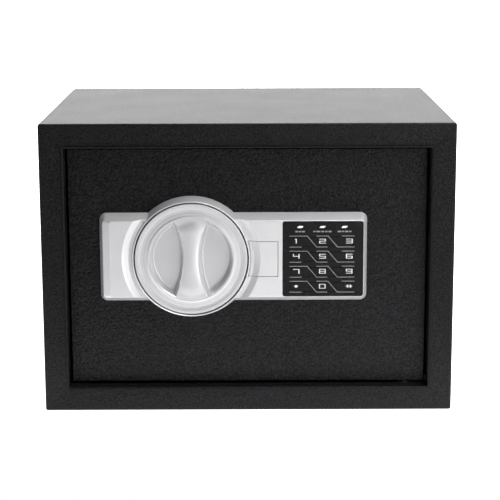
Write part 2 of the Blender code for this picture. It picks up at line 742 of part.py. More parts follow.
def build_lock(steel, brass, door, plug):
    centre = Vector((LOCK_X, 0, LOCK_Z))
    bore = PLUG_RADIUS + RUN
    tail = CARRIAGE_FRONT
    nut_back = SEAT + NUT_THICKNESS
    profile = [
        (bore, LOCK_FACE),
        (CYLINDER_RADIUS, LOCK_FACE),
        (CYLINDER_RADIUS, SEAT),
        (CYLINDER_NUT, SEAT),
        (CYLINDER_NUT, nut_back),
        (CYLINDER_RADIUS, nut_back),
        (CYLINDER_RADIUS, tail),
        (bore, tail),
    ]
    add("lock_cylinder", turned(profile, centre, "Y", hollow=True), steel, door)
    plug_end = tail + CAM_SHEET
    key_plug = add("lock_plug", rod(PLUG_RADIUS, LOCK_FACE, plug_end, centre, "Y"), brass, plug)
    keyway = block(
        LOCK_X - KEYWAY_WIDTH / 2,
        LOCK_X + KEYWAY_WIDTH / 2,
        LOCK_FACE - RUN,
        DOOR_BACK,
        LOCK_Z - KEYWAY_HEIGHT / 2,
        LOCK_Z + KEYWAY_HEIGHT / 2,
    )
    shape(key_plug, "keyway", keyway)
    arm = rectangle(LOCK_X - CAM_HALF, LOCK_X + CAM_HALF, LOCK_Z - CAM_LENGTH, LOCK_Z + CAM_HALF, CAM_HALF, 5)
    add("lock_cam", prism(arm, "Y", plug_end + TOUCH, plug_end + TOUCH + CAM_SHEET), steel, plug)


# The knob and the bolts


def finger_outline(side, inset):
    """The lens between the ring of the knob and the hollow side of the grip."""
    ring = FINGER_RADIUS - inset
    arc = FINGER_ARC - inset
    centre = FINGER_ARC + GRIP_HALF
    cross = (centre**2 + ring**2 - arc**2) / (2 * centre)
    on_ring = math.acos(cross / ring)
    on_arc = math.acos((centre - cross) / arc)
    outline = []
    steps = 12
    for step in range(steps):
        angle = on_ring * (2 * step / steps - 1)
        outline.append((side * ring * math.cos(angle), ring * math.sin(angle)))
    for step in range(steps):
        angle = on_arc * (1 - 2 * step / steps)
        outline.append((side * (centre - arc * math.cos(angle)), arc * math.sin(angle)))
    return [(KNOB_X + x, LOCK_Z + z) for x, z in outline]


def build_knob(look, knob):
    centre = Vector((KNOB_X, 0, LOCK_Z))
    ridge_in = RIDGE_RADIUS - RIDGE_HALF
    ridge_out = RIDGE_RADIUS + RIDGE_HALF
    profile = [
        (0, KNOB_BACK),
        (KNOB_RADIUS, KNOB_BACK),
        (KNOB_RADIUS, FRONT + RIM_EDGE),
        (KNOB_RADIUS - RIM_EDGE, FRONT),
        ((KNOB_RADIUS + ridge_out) / 2, FRONT + DISH_DEPTH),
        (ridge_out, FRONT + RIM_EDGE / 2),
        (ridge_out - RIDGE_RISE, FRONT - RIDGE_RISE),
        (ridge_in, FRONT - RIDGE_RISE),
        (FINGER_RADIUS - GRIP_RISE, FRONT - GRIP_RISE),
        (0, FRONT - GRIP_RISE),
    ]
    made = add("knob", turned(profile, centre, "Y", ROUND_SIDES), look, knob)
    floor = KNOB_BACK - FINGER_FLOOR
    top = FRONT - 2 * GRIP_RISE
    flare = FINGER_DRAFT * (FRONT - top) / (floor - FRONT)
    for side, name in ((-1, "left"), (1, "right")):
        rings = [
            [at("Y", y, x, z) for x, z in finger_outline(side, inset)]
            for y, inset in ((top, -flare), (floor, FINGER_DRAFT))
        ]
        shape(made, f"{name}_finger_hollow", loft(rings))
    socket = rod(SPINDLE_RADIUS + TOUCH, KNOB_BACK + RIM_EDGE, KNOB_BACK - SOCKET_DEPTH, centre, "Y")
    shape(made, "socket", socket)


def build_spindle(steel, nylon, knob, door):
    """The knob's spindle, the bush it turns in, the ring that holds it and the crank on its end."""
    centre = Vector((KNOB_X, 0, LOCK_Z))
    start = KNOB_BACK - SOCKET_DEPTH + TOUCH
    end = CRANK_BACK + TOUCH
    add("knob_spindle", rod(SPINDLE_RADIUS, start, end, centre, "Y"), steel, knob)
    bore = SPINDLE_RADIUS + RUN
    sleeve = SPINDLE_RADIUS + DOOR_PLATE - TOUCH
    flange_back = SEAT + 0.0015
    profile = [
        (bore, DOOR_FACE + TOUCH),
        (sleeve, DOOR_FACE + TOUCH),
        (sleeve, SEAT),
        (2 * bore, SEAT),
        (2 * bore, flange_back),
        (bore, flange_back),
    ]
    add("knob_bush", turned(profile, centre, "Y", hollow=True), nylon, door)
    ring = tube(SPINDLE_RADIUS + TOUCH, SPINDLE_RADIUS * 1.8, flange_back + RUN, flange_back + 0.0016, centre, "Y")
    add("spindle_ring", ring, steel, knob)
    crank = add(
        "crank",
        tube(SPINDLE_RADIUS + TOUCH, CRANK_RADIUS, CRANK_FRONT, CRANK_BACK, centre, "Y", 32),
        steel,
        knob,
    )
    reach = Vector((math.sin(CRANK_ANGLE), 0, math.cos(CRANK_ANGLE))) * CRANK_ARM
    pin = rod(CRANK_PIN, CRANK_FRONT + TOUCH, CARRIAGE_BACK + 0.0015, centre + reach, "Y")
    shape(crank, "pin", pin, "UNION")


def build_bolts(steel, chrome, carriage):
    """The carriage that the crank drives, and the two bolts on its flange."""
    arm_end = KNOB_X + CRANK_ARM * math.sin(CRANK_ANGLE) + CRANK_PIN + CRANK_SLACK + 2 * CARRIAGE_SHEET
    low, high = LOCK_Z - ARM_HALF, LOCK_Z + ARM_HALF
    arm = block(FLANGE_X0, arm_end, CARRIAGE_FRONT, CARRIAGE_BACK, low, high)
    made = add("bolt_carriage", arm, steel, carriage)
    reach = BOLT_SPREAD + BOLT_RADIUS + CARRIAGE_SHEET
    depth = (SEAT + GUIDE_SHEET + RUN, BOLT_Y + BOLT_RADIUS)
    flange = block(FLANGE_X0, FLANGE_X1, *depth, LOCK_Z - reach, LOCK_Z + reach)
    shape(made, "flange", flange, "UNION")
    tab = block(TAB_X - TAB_HALF, TAB_X + TAB_HALF, CARRIAGE_FRONT, CARRIAGE_BACK, low - TAB_DROP, low + TAB_HALF)
    shape(made, "tab", tab, "UNION")
    across = (CARRIAGE_FRONT - CARRIAGE_SHEET, CARRIAGE_BACK + CARRIAGE_SHEET)
    half = STUD_RADIUS + RUN
    for number, x in enumerate(stud_places(), 1):
        slot = rectangle(x - half, x + THROW + half, LOCK_Z - half, LOCK_Z + half, half * 0.98, 4)
        shape(made, f"stud_slot_{number}", prism(slot, "Y", *across))
    pin_x = KNOB_X + CRANK_ARM * math.sin(CRANK_ANGLE)
    pin_low = LOCK_Z + CRANK_ARM * math.cos(CRANK_ANGLE)
    half = CRANK_PIN + CRANK_SLACK
    slot = rectangle(pin_x - half, pin_x + half, pin_low - half, LOCK_Z + CRANK_ARM + half, half * 0.98, 4)
    shape(made, "crank_slot", prism(slot, "Y", *across))
    for name, z in (("upper_bolt", LOCK_Z + BOLT_SPREAD), ("lower_bolt", LOCK_Z - BOLT_SPREAD)):
        centre = Vector((0, BOLT_Y, z))
        bolt = rod(BOLT_RADIUS, FLANGE_X0 - TOUCH, DOOR_LEFT + BOLT_TIP, centre, "X", 32, chamfer=0.001)
        add(name, bolt, chrome, carriage)


def stud_places():
    return [FLANGE_X1 + distance for distance in STUDS]


def build_guides(steel, door):
    """The angle that the bolts run through, and the shouldered studs that the carriage slides on."""
    reach = BOLT_SPREAD + 2 * BOLT_RADIUS
    back = BOLT_Y + BOLT_RADIUS
    plate = block(GUIDE_X0, GUIDE_X1, SEAT, back, LOCK_Z - reach, LOCK_Z + reach)
    guide = add("bolt_guide", plate, steel, door)
    foot = block(
        GUIDE_X0 + SHARP, GUIDE_X1 + GUIDE_FOOT, SEAT, SEAT + GUIDE_SHEET, LOCK_Z - reach, LOCK_Z + reach
    )
    shape(guide, "foot", foot, "UNION")
    for name, z in (("upper_hole", LOCK_Z + BOLT_SPREAD), ("lower_hole", LOCK_Z - BOLT_SPREAD)):
        hole = circle(BOLT_Y, z, BOLT_RADIUS + RUN, 32)
        shape(guide, name, prism(hole, "X", GUIDE_X0 - GUIDE_SHEET, GUIDE_X1 + GUIDE_SHEET / 2))
    for number, x in enumerate(stud_places(), 1):
        profile = [
            (0, SEAT),
            (STUD_HEAD, SEAT),
            (STUD_HEAD, CARRIAGE_FRONT - RUN),
            (STUD_RADIUS, CARRIAGE_FRONT - RUN),
            (STUD_RADIUS, CARRIAGE_BACK + RUN),
            (STUD_HEAD, CARRIAGE_BACK + RUN),
            (STUD_HEAD, CARRIAGE_BACK + RUN + 0.0015),
            (0, CARRIAGE_BACK + RUN + 0.0015),
        ]
        stud = turned(profile, Vector((x, 0, LOCK_Z)), "Y")
        add(f"guide_stud_{number}", stud, steel, door)


def build_solenoid(steel, copper, door, plunger):
    """A coil in a frame. Its plunger rises beside the carriage's tab and holds the bolts where they are."""
    top = PLUNGER_TOP - SOLENOID_SHEET * 2
    low = top - SOLENOID_HEIGHT
    outer = rectangle(SOLENOID_X - SOLENOID_HALF, SOLENOID_X + SOLENOID_HALF, low, top)
    frame = add("solenoid_frame", prism(outer, "Y", SEAT, BOLT_Y + BOLT_RADIUS), steel, door)
    inset = SOLENOID_SHEET
    inner = block(
        SOLENOID_X - SOLENOID_HALF + inset,
        SOLENOID_X + SOLENOID_HALF - inset,
        SEAT + inset,
        COVER_BACK,
        low + inset,
        top - inset,
    )
    shape(frame, "window", inner)
    axis = Vector((SOLENOID_X, BOLT_Y, 0))
    bore = PLUNGER_RADIUS + RUN
    shape(frame, "plunger_hole", rod(bore, top - 2 * inset, top + inset, axis, "Z"))
    coil_outer = min(BOLT_Y - SEAT, SOLENOID_HALF) - inset - TOUCH
    coil = tube(bore, coil_outer, low + inset + TOUCH, top - inset - TOUCH, axis, "Z", 32)
    add("solenoid_coil", coil, copper, door)
    rise = rod(PLUNGER_RADIUS, PLUNGER_TOP - PLUNGER_LENGTH, PLUNGER_TOP, axis, "Z", chamfer=0.0006)
    add("solenoid_plunger", rise, steel, plunger)


# The inside of the door


def ear_places():
    """Where the four screws of the inner cover go."""
    for distance in EARS:
        for z in (COVER_LOW - EAR / 2, COVER_HIGH + EAR / 2):
            yield COVER_X0 + distance, z


def battery_window(grow):
    inset = HOLDER_WALL + grow
    return rectangle(
        HOLDER_X0 - inset, HOLDER_X1 + inset, HOLDER_LOW - inset, HOLDER_HIGH + inset, 2 * COVER_EDGE
    )


def build_inner_cover(look, screw_look, battery_cover, reset, door):
    """The tray over the works, open at the bolt guide, with its battery cover and the reset button."""
    tray = block(COVER_X0, COVER_X1, SEAT, COVER_BACK, COVER_LOW, COVER_HIGH)
    made = add("inner_cover", tray, look, door)
    round_edges(made, COVER_EDGE)
    for number, (x, z) in enumerate(ear_places(), 1):
        ear = block(x - EAR / 2, x + EAR / 2, SEAT, SEAT + COVER_SHEET, z - EAR * 0.75, z + EAR * 0.75)
        shape(made, f"ear_{number}", ear, "UNION")
    wall = COVER_SHEET
    room = block(
        COVER_X0 - wall, COVER_X1 - wall, SEAT - wall, COVER_BACK - wall, COVER_LOW + wall, COVER_HIGH - wall
    )
    shape(made, "room", room)
    through = (COVER_BACK - 2 * wall, COVER_BACK + wall)
    shape(made, "battery_window", prism(battery_window(RUN), "Y", *through))
    shape(made, "reset_hole", prism(circle(RESET_X, RESET_Z, RESET_RADIUS + RUN), "Y", *through))
    for number, (x, z) in enumerate(ear_places(), 1):
        hole = prism(circle(x, z, SCREW_RADIUS + RUN, 12), "Y", SEAT - wall, SEAT + 2 * wall)
        shape(made, f"screw_hole_{number}", hole)
        seat = SEAT + wall + TOUCH
        profile = [
            (0, DOOR_BACK - DOOR_PLATE / 2),
            (SCREW_RADIUS, DOOR_BACK - DOOR_PLATE / 2),
            (SCREW_RADIUS, seat),
            (SCREW_HEAD, seat),
            (SCREW_HEAD * 0.8, seat + SCREW_RADIUS),
            (0, seat + SCREW_RADIUS * 1.2),
        ]
        screw = turned(profile, Vector((x, 0, z)), "Y", 16)
        add(f"cover_screw_{number}", screw, screw_look, door)
    rings = []
    inner = -BATTERY_RIM
    for y, grow in ((COVER_BACK - 2 * wall, inner), (COVER_BACK - wall, inner), (COVER_BACK - wall, 0), (COVER_BACK, 0)):
        rings.append([at("Y", y, x, z) for x, z in battery_window(grow)])
    add("battery_cover", loft(rings), look, battery_cover)
    inside = COVER_BACK - wall
    rear = PCB_FACE + BOARD_THICKNESS + 0.010
    profile = [
        (0, rear),
        (RESET_RADIUS - RUN, rear),
        (RESET_RADIUS - RUN, inside - RUN - 0.0015),
        (RESET_FLANGE, inside - RUN - 0.0015),
        (RESET_FLANGE, inside - RUN),
        (RESET_RADIUS, inside - RUN),
        (RESET_RADIUS, COVER_BACK + 0.002),
        (0, COVER_BACK + 0.002),
    ]
    button = turned(profile, Vector((RESET_X, 0, RESET_Z)), "Y")
    return add("reset_button", button, screw_look, reset)


def build_batteries(plastic, cell_look, door):
    """The holder and its four AA cells, one above the other."""
    back = CELL_Y + CELL_RADIUS
    tray = block(HOLDER_X0, HOLDER_X1, SEAT, back, HOLDER_LOW, HOLDER_HIGH)
    holder = add("battery_holder", tray, plastic, door)
    wall = HOLDER_WALL
    pocket = block(
        HOLDER_X0 + wall, HOLDER_X1 - wall, SEAT + wall, back + wall, HOLDER_LOW + wall, HOLDER_HIGH - wall
    )
    shape(holder, "pocket", pocket)
    start = HOLDER_X0 + wall + CONTACT_ROOM
    for number in range(CELLS):
        z = HOLDER_LOW + wall + CELL_PITCH * (number + 0.5)
        centre = Vector((start if number % 2 else start + CELL_LENGTH, CELL_Y, z))
        way = 1 if number % 2 else -1
        profile = [
            (0, 0),
            (CELL_RADIUS * 0.9, 0),
            (CELL_RADIUS, CELL_RADIUS * 0.1),
            (CELL_RADIUS, CELL_LENGTH - 0.0018),
            (CELL_RADIUS * 0.9, CELL_LENGTH - 0.0011),
            (0.0027, CELL_LENGTH - 0.0011),
            (0.0027, CELL_LENGTH),
            (0, CELL_LENGTH),
        ]
        profile = [(radius, way * along) for radius, along in profile]
        add(f"cell_{number + 1}", turned(profile, centre, "X", 20), cell_look, door)


def wire_hole():
    """Where the keypad's wires pass through the door, between the cells and the control board."""
    return (HOLDER_X0 + HOLDER_X1) / 2, LOCK_Z + PCB_BELOW / 2


def build_control_board(board_look, wire_look, door):
    back = PCB_FACE + BOARD_THICKNESS
    low, high = LOCK_Z + PCB_BELOW, LOCK_Z + PCB_ABOVE
    board = add("control_board", block(PCB_X0, PCB_X1, PCB_FACE, back, low, high), board_look, door)
    post = 0.0025
    for number, (x, z) in enumerate(
        ((PCB_X0, low), (PCB_X1, low), (PCB_X0, high), (PCB_X1, high)), 1
    ):
        x += math.copysign(2 * post, PCB_X0 - x + PCB_WIDTH / 2)
        z += math.copysign(2 * post, (low + high) / 2 - z)
        shape(board, f"post_{number}", rod(post, SEAT, back + TOUCH, Vector((x, 0, z)), "Y", 16), "UNION")
    hole_x, hole_z = wire_hole()
    lead_x = PCB_X0 + 3 * LEAD_RADIUS
    plug_low = low + post
    half = 2.5 * WIRE_RADIUS
    for name, x in (("keypad_socket", hole_x), ("solenoid_socket", lead_x + half - 2 * LEAD_RADIUS)):
        socket = block(x - half, x + half, PCB_FACE - 0.004, PCB_FACE + TOUCH, plug_low, plug_low + half)
        shape(board, name, socket, "UNION")
    switch = block(
        RESET_X - RESET_FLANGE,
        RESET_X + RESET_FLANGE,
        back - TOUCH,
        back + 0.010 - RESET_TRAVEL - RUN,
        RESET_Z - RESET_FLANGE,
        RESET_Z + RESET_FLANGE,
    )
    shape(board, "reset_switch", switch, "UNION")
    relay = block(PCB_X0 + 0.008, PCB_X0 + 0.024, back - TOUCH, back + 0.008, high - 0.022, high - 0.010)
    shape(board, "relay", relay, "UNION")
    lead_y = PCB_FACE - 0.002
    straight = 2 * WIRE_RADIUS
    keypad_route = (
        (hole_x, BOARD_FACE + BOARD_THICKNESS + TOUCH, hole_z),
        (hole_x, DOOR_FACE, hole_z),
        (hole_x, DOOR_BACK, hole_z),
        (hole_x, lead_y, plug_low - TOUCH - straight),
        (hole_x, lead_y, plug_low - TOUCH),
    )
    wire("keypad_wires", keypad_route, WIRE_RADIUS, wire_look, door)
    deep = SEAT + LEAD_RADIUS + TOUCH
    lead_low = LOCK_Z - ARM_HALF - TAB_DROP - 0.002
    coil_side = SOLENOID_X + SOLENOID_HALF + TOUCH
    coil_z = PLUNGER_TOP - SOLENOID_HEIGHT / 2
    beside_holder = HOLDER_X0 - 2 * LEAD_RADIUS
    solenoid_route = (
        (lead_x, lead_y, plug_low - TOUCH),
        (lead_x, lead_y, plug_low - TOUCH - straight),
        (beside_holder, deep, LOCK_Z - CYLINDER_NUT / 2),
        (beside_holder - LEAD_RADIUS, deep, lead_low + 0.006),
        (LOCK_X, deep, lead_low),
        ((LOCK_X + coil_side) / 2, deep, lead_low),
        (coil_side + 0.012, deep, (lead_low + coil_z) / 2),
        (coil_side + straight, deep + LEAD_RADIUS, coil_z),
        (coil_side, deep + LEAD_RADIUS, coil_z),
    )
    wire("solenoid_wires", solenoid_route, LEAD_RADIUS, wire_look, door)


def name_keys():
    """The keys' node names, with the column and the row of each."""
    labels = ("1", "2", "3", "4", "5", "6", "7", "8", "9", "star", "0", "hash")
    return {f"key_{label}": (i % KEY_COLUMNS, i // KEY_COLUMNS) for i, label in enumerate(labels)}


def build():
    for old in list(bpy.data.objects):
        bpy.data.objects.remove(old)

    powder = material("black_powder_coat", (0.016, 0.016, 0.018), 0.5)
    silver = material("silver_paint", (0.55, 0.56, 0.58), 0.32, 0.7)
    gloss = material("black_gloss_plastic", (0.011, 0.011, 0.012), 0.18)
    lens = material("clear_lens", (0.80, 0.81, 0.80), 0.25)
    zinc = material("zinc_plated_steel", (0.50, 0.50, 0.47), 0.38, 1.0)
    chrome = material("bright_steel", (0.62, 0.62, 0.63), 0.18, 1.0)
    brass = material("brass", (0.60, 0.43, 0.17), 0.30, 1.0)
    black_plastic = material("black_plastic", (0.020, 0.020, 0.021), 0.55)
    nylon = material("nylon", (0.70, 0.69, 0.65), 0.45)
    copper = material("coil_tape", (0.42, 0.10, 0.05), 0.45)
    green = material("circuit_board", (0.02, 0.14, 0.05), 0.40)
    felt = material("felt", (0.045, 0.046, 0.050), 0.95)
    cell = material("battery_sleeve", (0.05, 0.07, 0.12), 0.35)

    key_names = name_keys()
    body = pivot("body", (0, 0, 0))
    door = pivot("door_hinge", (HINGE_X, HINGE_Y, LOCK_Z), body)
    knob = pivot("knob_turn", (KNOB_X, FRONT, LOCK_Z), door)
    carriage = pivot("bolt_slide", (FLANGE_X0, BOLT_Y, LOCK_Z), door)
    key_cover = pivot("key_cover_lift", (LOCK_X, FRONT, LOCK_Z), door)
    plug = pivot("key_turn", (LOCK_X, LOCK_FACE, LOCK_Z), door)
    plunger = pivot("plunger_travel", (SOLENOID_X, BOLT_Y, PLUNGER_TOP), door)
    middle = ((HOLDER_X0 + HOLDER_X1) / 2, COVER_BACK, (HOLDER_LOW + HOLDER_HIGH) / 2)
    battery_cover = pivot("battery_cover_lift", middle, door)
    reset = pivot("reset_travel", (RESET_X, COVER_BACK, RESET_Z), door)

    build_shell(powder, body)
    build_back(powder, body)
    build_mat(felt, body)
    build_hinge(zinc, chrome, body, door)
    build_door_plate(powder, door)
    build_fascia(silver, door)
    build_key_cover(silver, key_cover)
    build_keypad(gloss, lens, green, key_names, door)
    build_keys(gloss, key_names, door)
    build_lock(zinc, brass, door, plug)
    build_knob(silver, knob)
    build_spindle(zinc, nylon, knob, door)
    build_bolts(zinc, chrome, carriage)
    build_guides(zinc, door)
    build_solenoid(zinc, copper, door, plunger)
    build_inner_cover(black_plastic, zinc, battery_cover, reset, door)
    build_batteries(black_plastic, cell, door)
    build_control_board(green, gloss, door)


build()
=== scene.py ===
"""A small electronic safe: folded steel body, recessed door, silver lock fascia with a turn knob, a keypad
and an emergency key lock, two bolts and a solenoid behind an inner cover.

Metres, +Z up. The origin is the middle of the base and the door faces -Y.
"""

import math

import bmesh
import bpy
from mathutils import Matrix, Vector


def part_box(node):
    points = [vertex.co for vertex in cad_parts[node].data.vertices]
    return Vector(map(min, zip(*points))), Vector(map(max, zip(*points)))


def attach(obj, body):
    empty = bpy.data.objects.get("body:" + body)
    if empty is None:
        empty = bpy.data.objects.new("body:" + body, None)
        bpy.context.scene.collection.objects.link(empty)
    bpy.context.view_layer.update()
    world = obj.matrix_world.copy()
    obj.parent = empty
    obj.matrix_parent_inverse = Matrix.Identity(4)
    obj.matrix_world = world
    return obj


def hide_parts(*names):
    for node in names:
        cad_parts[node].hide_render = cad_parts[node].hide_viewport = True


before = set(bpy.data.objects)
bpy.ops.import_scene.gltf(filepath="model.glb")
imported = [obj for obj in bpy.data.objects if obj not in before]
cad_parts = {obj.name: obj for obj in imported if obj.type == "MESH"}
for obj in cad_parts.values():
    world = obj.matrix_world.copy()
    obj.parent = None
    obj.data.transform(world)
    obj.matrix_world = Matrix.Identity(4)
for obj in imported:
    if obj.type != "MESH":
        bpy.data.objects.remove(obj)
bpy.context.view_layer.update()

# The view and the studio
# A pale floor and a bright wall behind, a large soft light overhead and two smaller ones low on the right.
# The floor is brightest round the safe and darker towards the viewer.

LENS = 101.8
VIEW_FROM = (0.0016, -1.2893, 0.4180)
LOOK_DOWN = math.radians(10.50)
LOOK_ASIDE = math.radians(-0.025)
LEAN = math.radians(-0.19)
FRAME_DROP = -0.14
STAGE_HALF = 5.0
STAGE_FRONT = -4.0
WALL_Y = 2.2
WALL_HEIGHT = 4.0
WALL_GLOW = 2.6
FLOOR_DIM, FLOOR_DIM_TO = 0.02, -0.32
FLOOR_GLOW, FLOOR_GLOW_FROM = 1.7, -0.19
SKY_GLOW = 0.02
LIT_POINT = Vector((0, -0.12, 0.13))

scene = bpy.context.scene
scene.view_settings.view_transform = "Standard"
camera = bpy.data.objects.new("camera", bpy.data.cameras.new("camera"))
camera.data.lens = LENS
camera.data.sensor_width = 36
camera.data.shift_y = FRAME_DROP
camera.data.clip_end = 50
aim = Matrix.Rotation(LOOK_ASIDE, 4, "Z") @ Matrix.Rotation(math.pi / 2 - LOOK_DOWN, 4, "X")
camera.matrix_world = Matrix.Translation(VIEW_FROM) @ aim @ Matrix.Rotation(LEAN, 4, "Z")
scene.collection.objects.link(camera)
scene.camera = camera


def put(tree, kind, wires=(), **settings):
    """A new node. Each wire pairs one of its inputs with a value or with another node's output."""
    node = tree.nodes.new(kind)
    for name, value in settings.items():
        setattr(node, name, value)
    for socket, value in wires:
        if isinstance(value, bpy.types.NodeSocket):
            tree.links.new(value, node.inputs[socket])
        else:
            node.inputs[socket].default_value = value
    return node


def new_look(name):
    """A new material, with its node tree and its shader."""
    look = bpy.data.materials.new(name)
    look.use_nodes = True
    return look, look.node_tree, look.node_tree.nodes["Principled BSDF"]


def studio_sheet(name, corners, near, far, start, end):
    """A flat studio surface whose glow goes from near to far between two distances along Y."""
    data = bpy.data.meshes.new(name)
    data.from_pydata(corners, [], [(0, 1, 2, 3)])
    look, tree, shader = new_look(name)
    place = put(tree, "ShaderNodeTexCoord")
    along = put(tree, "ShaderNodeSeparateXYZ", [(0, place.outputs["Object"])])
    fade = put(
        tree,
        "ShaderNodeMapRange",
        [("Value", along.outputs["Y"]), (1, start), (2, end), (3, near), (4, far)],
        interpolation_type="SMOOTHSTEP",
    )
    tree.links.new(fade.outputs[0], shader.inputs["Emission Strength"])
    shader.inputs["Emission Color"].default_value = (1, 1, 1, 1)
    shader.inputs["Base Color"].default_value = (0.8, 0.8, 0.8, 1)
    shader.inputs["Roughness"].default_value = 0.9
    data.materials.append(look)
    made = bpy.data.objects.new(name, data)
    scene.collection.objects.link(made)


wall_foot = [(-STAGE_HALF, WALL_Y, 0), (STAGE_HALF, WALL_Y, 0)]
studio_sheet(
    "floor",
    [(-STAGE_HALF, STAGE_FRONT, 0), (STAGE_HALF, STAGE_FRONT, 0), *reversed(wall_foot)],
    FLOOR_DIM,
    FLOOR_GLOW,
    FLOOR_DIM_TO,
    FLOOR_GLOW_FROM,
)
studio_sheet(
    "wall",
    [*wall_foot, (STAGE_HALF, WALL_Y, WALL_HEIGHT), (-STAGE_HALF, WALL_Y, WALL_HEIGHT)],
    WALL_GLOW,
    WALL_GLOW,
    0,
    1,
)


def soft_light(name, place, size, power):
    lamp = bpy.data.lights.new(name, "AREA")
    lamp.shape = "RECTANGLE"
    lamp.size, lamp.size_y = size
    lamp.energy = power
    made = bpy.data.objects.new(name, lamp)
    made.location = place
    made.rotation_euler = (LIT_POINT - Vector(place)).to_track_quat("-Z", "Y").to_euler()
    scene.collection.objects.link(made)


soft_light("key_light", (0.45, -0.42, 1.35), (0.8, 0.7), 18.5)
soft_light("side_light", (0.42, -0.36, 0.45), (0.25, 0.25), 1.2)
soft_light("low_light", (0.55, -1.20, 0.08), (0.3, 0.2), 3.6)
world = bpy.data.worlds.new("studio")
world.use_nodes = True
sky = world.node_tree.nodes["Background"]
sky.inputs["Color"].default_value = (1, 1, 1, 1)
sky.inputs["Strength"].default_value = SKY_GLOW
scene.world = world

# The body
# Four walls, the front frame and its return, folded from one sheet of 2 mm mild steel with a 2 mm radius at
# the folds. Two anchor holes are punched in the floor. It is powder coated black inside and out.

FOLD = 0.0020
OPENING_FOLD = 0.0015
STEEL = 0.0020
FRAME_WIDTH = 0.0210
RETURN = 0.0120
SHARP = 0.0004
BURR = 0.0003
ANCHOR_SPREAD = 0.0800
ANCHOR_RADIUS = 0.0055
COAT_BLACK = (0.0029, 0.0029, 0.0034)
COAT_GLOSS = 0.45
COAT_SHINE = 0.135

body_low, body_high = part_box("cabinet_shell")
front, back = body_low.y, body_high.y
half_width, height = body_high.x, body_high.z


def outline(left, right, low, high, radius, steps=8):
    """A rectangle with round corners, as points (across, up)."""
    corners = (
        (right - radius, low + radius, -90),
        (right - radius, high - radius, 0),
        (left + radius, high - radius, 90),
        (left + radius, low + radius, 180),
    )
    points = []
    for x, z, start in corners:
        for step in range(steps + 1):
            angle = math.radians(start + 90 * step / steps)
            points.append((x + radius * math.cos(angle), z + radius * math.sin(angle)))
    return points


def standing(points, y):
    return [Vector((x, y, z)) for x, z in points]


def skinned(rings, joined=False):
    """A mesh through rings of points, capped at both ends or joined from the last back to the first."""
    mesh = bmesh.new()
    loops = [[mesh.verts.new(point) for point in ring] for ring in rings]
    following = loops[1:] + loops[:1] if joined else loops[1:]
    for here, there in zip(loops, following):
        for i in range(len(here)):
            j = (i + 1) % len(here)
            mesh.faces.new((here[i], here[j], there[j], there[i]))
    if not joined:
        mesh.faces.new(loops[0])
        mesh.faces.new(loops[-1])
    bmesh.ops.recalc_face_normals(mesh, faces=mesh.faces)
    return mesh


def spun(profile, centre, axis="Y", steps=96):
    """A profile of (radius, distance along) turned about an axis. One that starts off it comes out a ring."""
    along = {"X": Vector((1, 0, 0)), "Y": Vector((0, 1, 0)), "Z": Vector((0, 0, 1))}[axis]
    out = Vector((0, 0, 1)) if axis != "Z" else Vector((1, 0, 0))
    mesh = bmesh.new()
    points = [mesh.verts.new(Vector(centre) + along * far + out * radius) for radius, far in profile]
    solid = profile[0][0] == 0
    following = points[1:] if solid else points[1:] + points[:1]
    edges = [mesh.edges.new(pair) for pair in zip(points, following)]
    bmesh.ops.spin(
        mesh, geom=points + edges, cent=centre, axis=along, angle=2 * math.pi, steps=steps, use_merge=True
    )
    bmesh.ops.remove_doubles(mesh, verts=mesh.verts, dist=1e-6)
    bmesh.ops.recalc_face_normals(mesh, faces=mesh.faces)
    return mesh


def slab(x0, x1, y0, y1, z0, z1, radius=0.0):
    """A block, with its upright corners in the door's plane rounded where a radius is given."""
    shape = [(x0, z0), (x1, z0), (x1, z1), (x0, z1)]
    if radius:
        shape = outline(x0, x1, z0, z1, radius, 6)
    return skinned([standing(shape, y0), standing(shape, y1)])


def object_of(name, mesh):
    data = bpy.data.meshes.new(name)
    mesh.to_mesh(data)
    mesh.free()
    made = bpy.data.objects.new(name, data)
    scene.collection.objects.link(made)
    return made


def settle(made):
    """Turns what a piece's modifiers make into its own mesh."""
    shown = made.evaluated_get(bpy.context.evaluated_depsgraph_get())
    data = bpy.data.meshes.new_from_object(shown)
    made.modifiers.clear()
    made.data = data


def worked(made, tools, operation="DIFFERENCE"):
    """Cuts meshes out of a piece, or joins them on, one after the other."""
    helpers = [object_of("tool", mesh) for mesh in tools]
    for helper in helpers:
        step = made.modifiers.new("work", "BOOLEAN")
        step.solver = "EXACT"
        step.operation = operation
        step.object = helper
    settle(made)
    for helper in helpers:
        bpy.data.objects.remove(helper)


def fitted(made, look, body, nodes=(), crease=35):
    """Shades a finished mesh, gives it its material, hangs it on its body and hides the CAD nodes it stands
    in for.
    """
    made.data.materials.clear()
    made.data.materials.append(look)
    made.data.shade_smooth()
    made.data.set_sharp_from_angle(angle=math.radians(crease))
    normals = made.modifiers.new("normals", "WEIGHTED_NORMAL")
    normals.keep_sharp = True
    normals.weight = 100
    settle(made)
    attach(made, body)
    if nodes:
        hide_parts(*nodes)
    return made


def dressed(look, *names):
    """Gives CAD nodes that keep their own shape their finish."""
    for name in names:
        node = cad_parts[name]
        if not node.material_slots:
            node.data.materials.append(look)
        for holder in node.material_slots:
            holder.material = look


def group(name, inputs, outputs):
    """A shader node group with its sockets made, and its input and output nodes."""
    tree = bpy.data.node_groups.new(name, "ShaderNodeTree")
    kinds = {"colour": "NodeSocketColor", "value": "NodeSocketFloat", "vector": "NodeSocketVector"}
    for label, kind, start in inputs:
        socket = tree.interface.new_socket(label, in_out="INPUT", socket_type=kinds[kind])
        if start is not None:
            socket.default_value = start
    for label, kind in outputs:
        tree.interface.new_socket(label, in_out="OUTPUT", socket_type=kinds[kind])
    return tree, put(tree, "NodeGroupInput"), put(tree, "NodeGroupOutput")


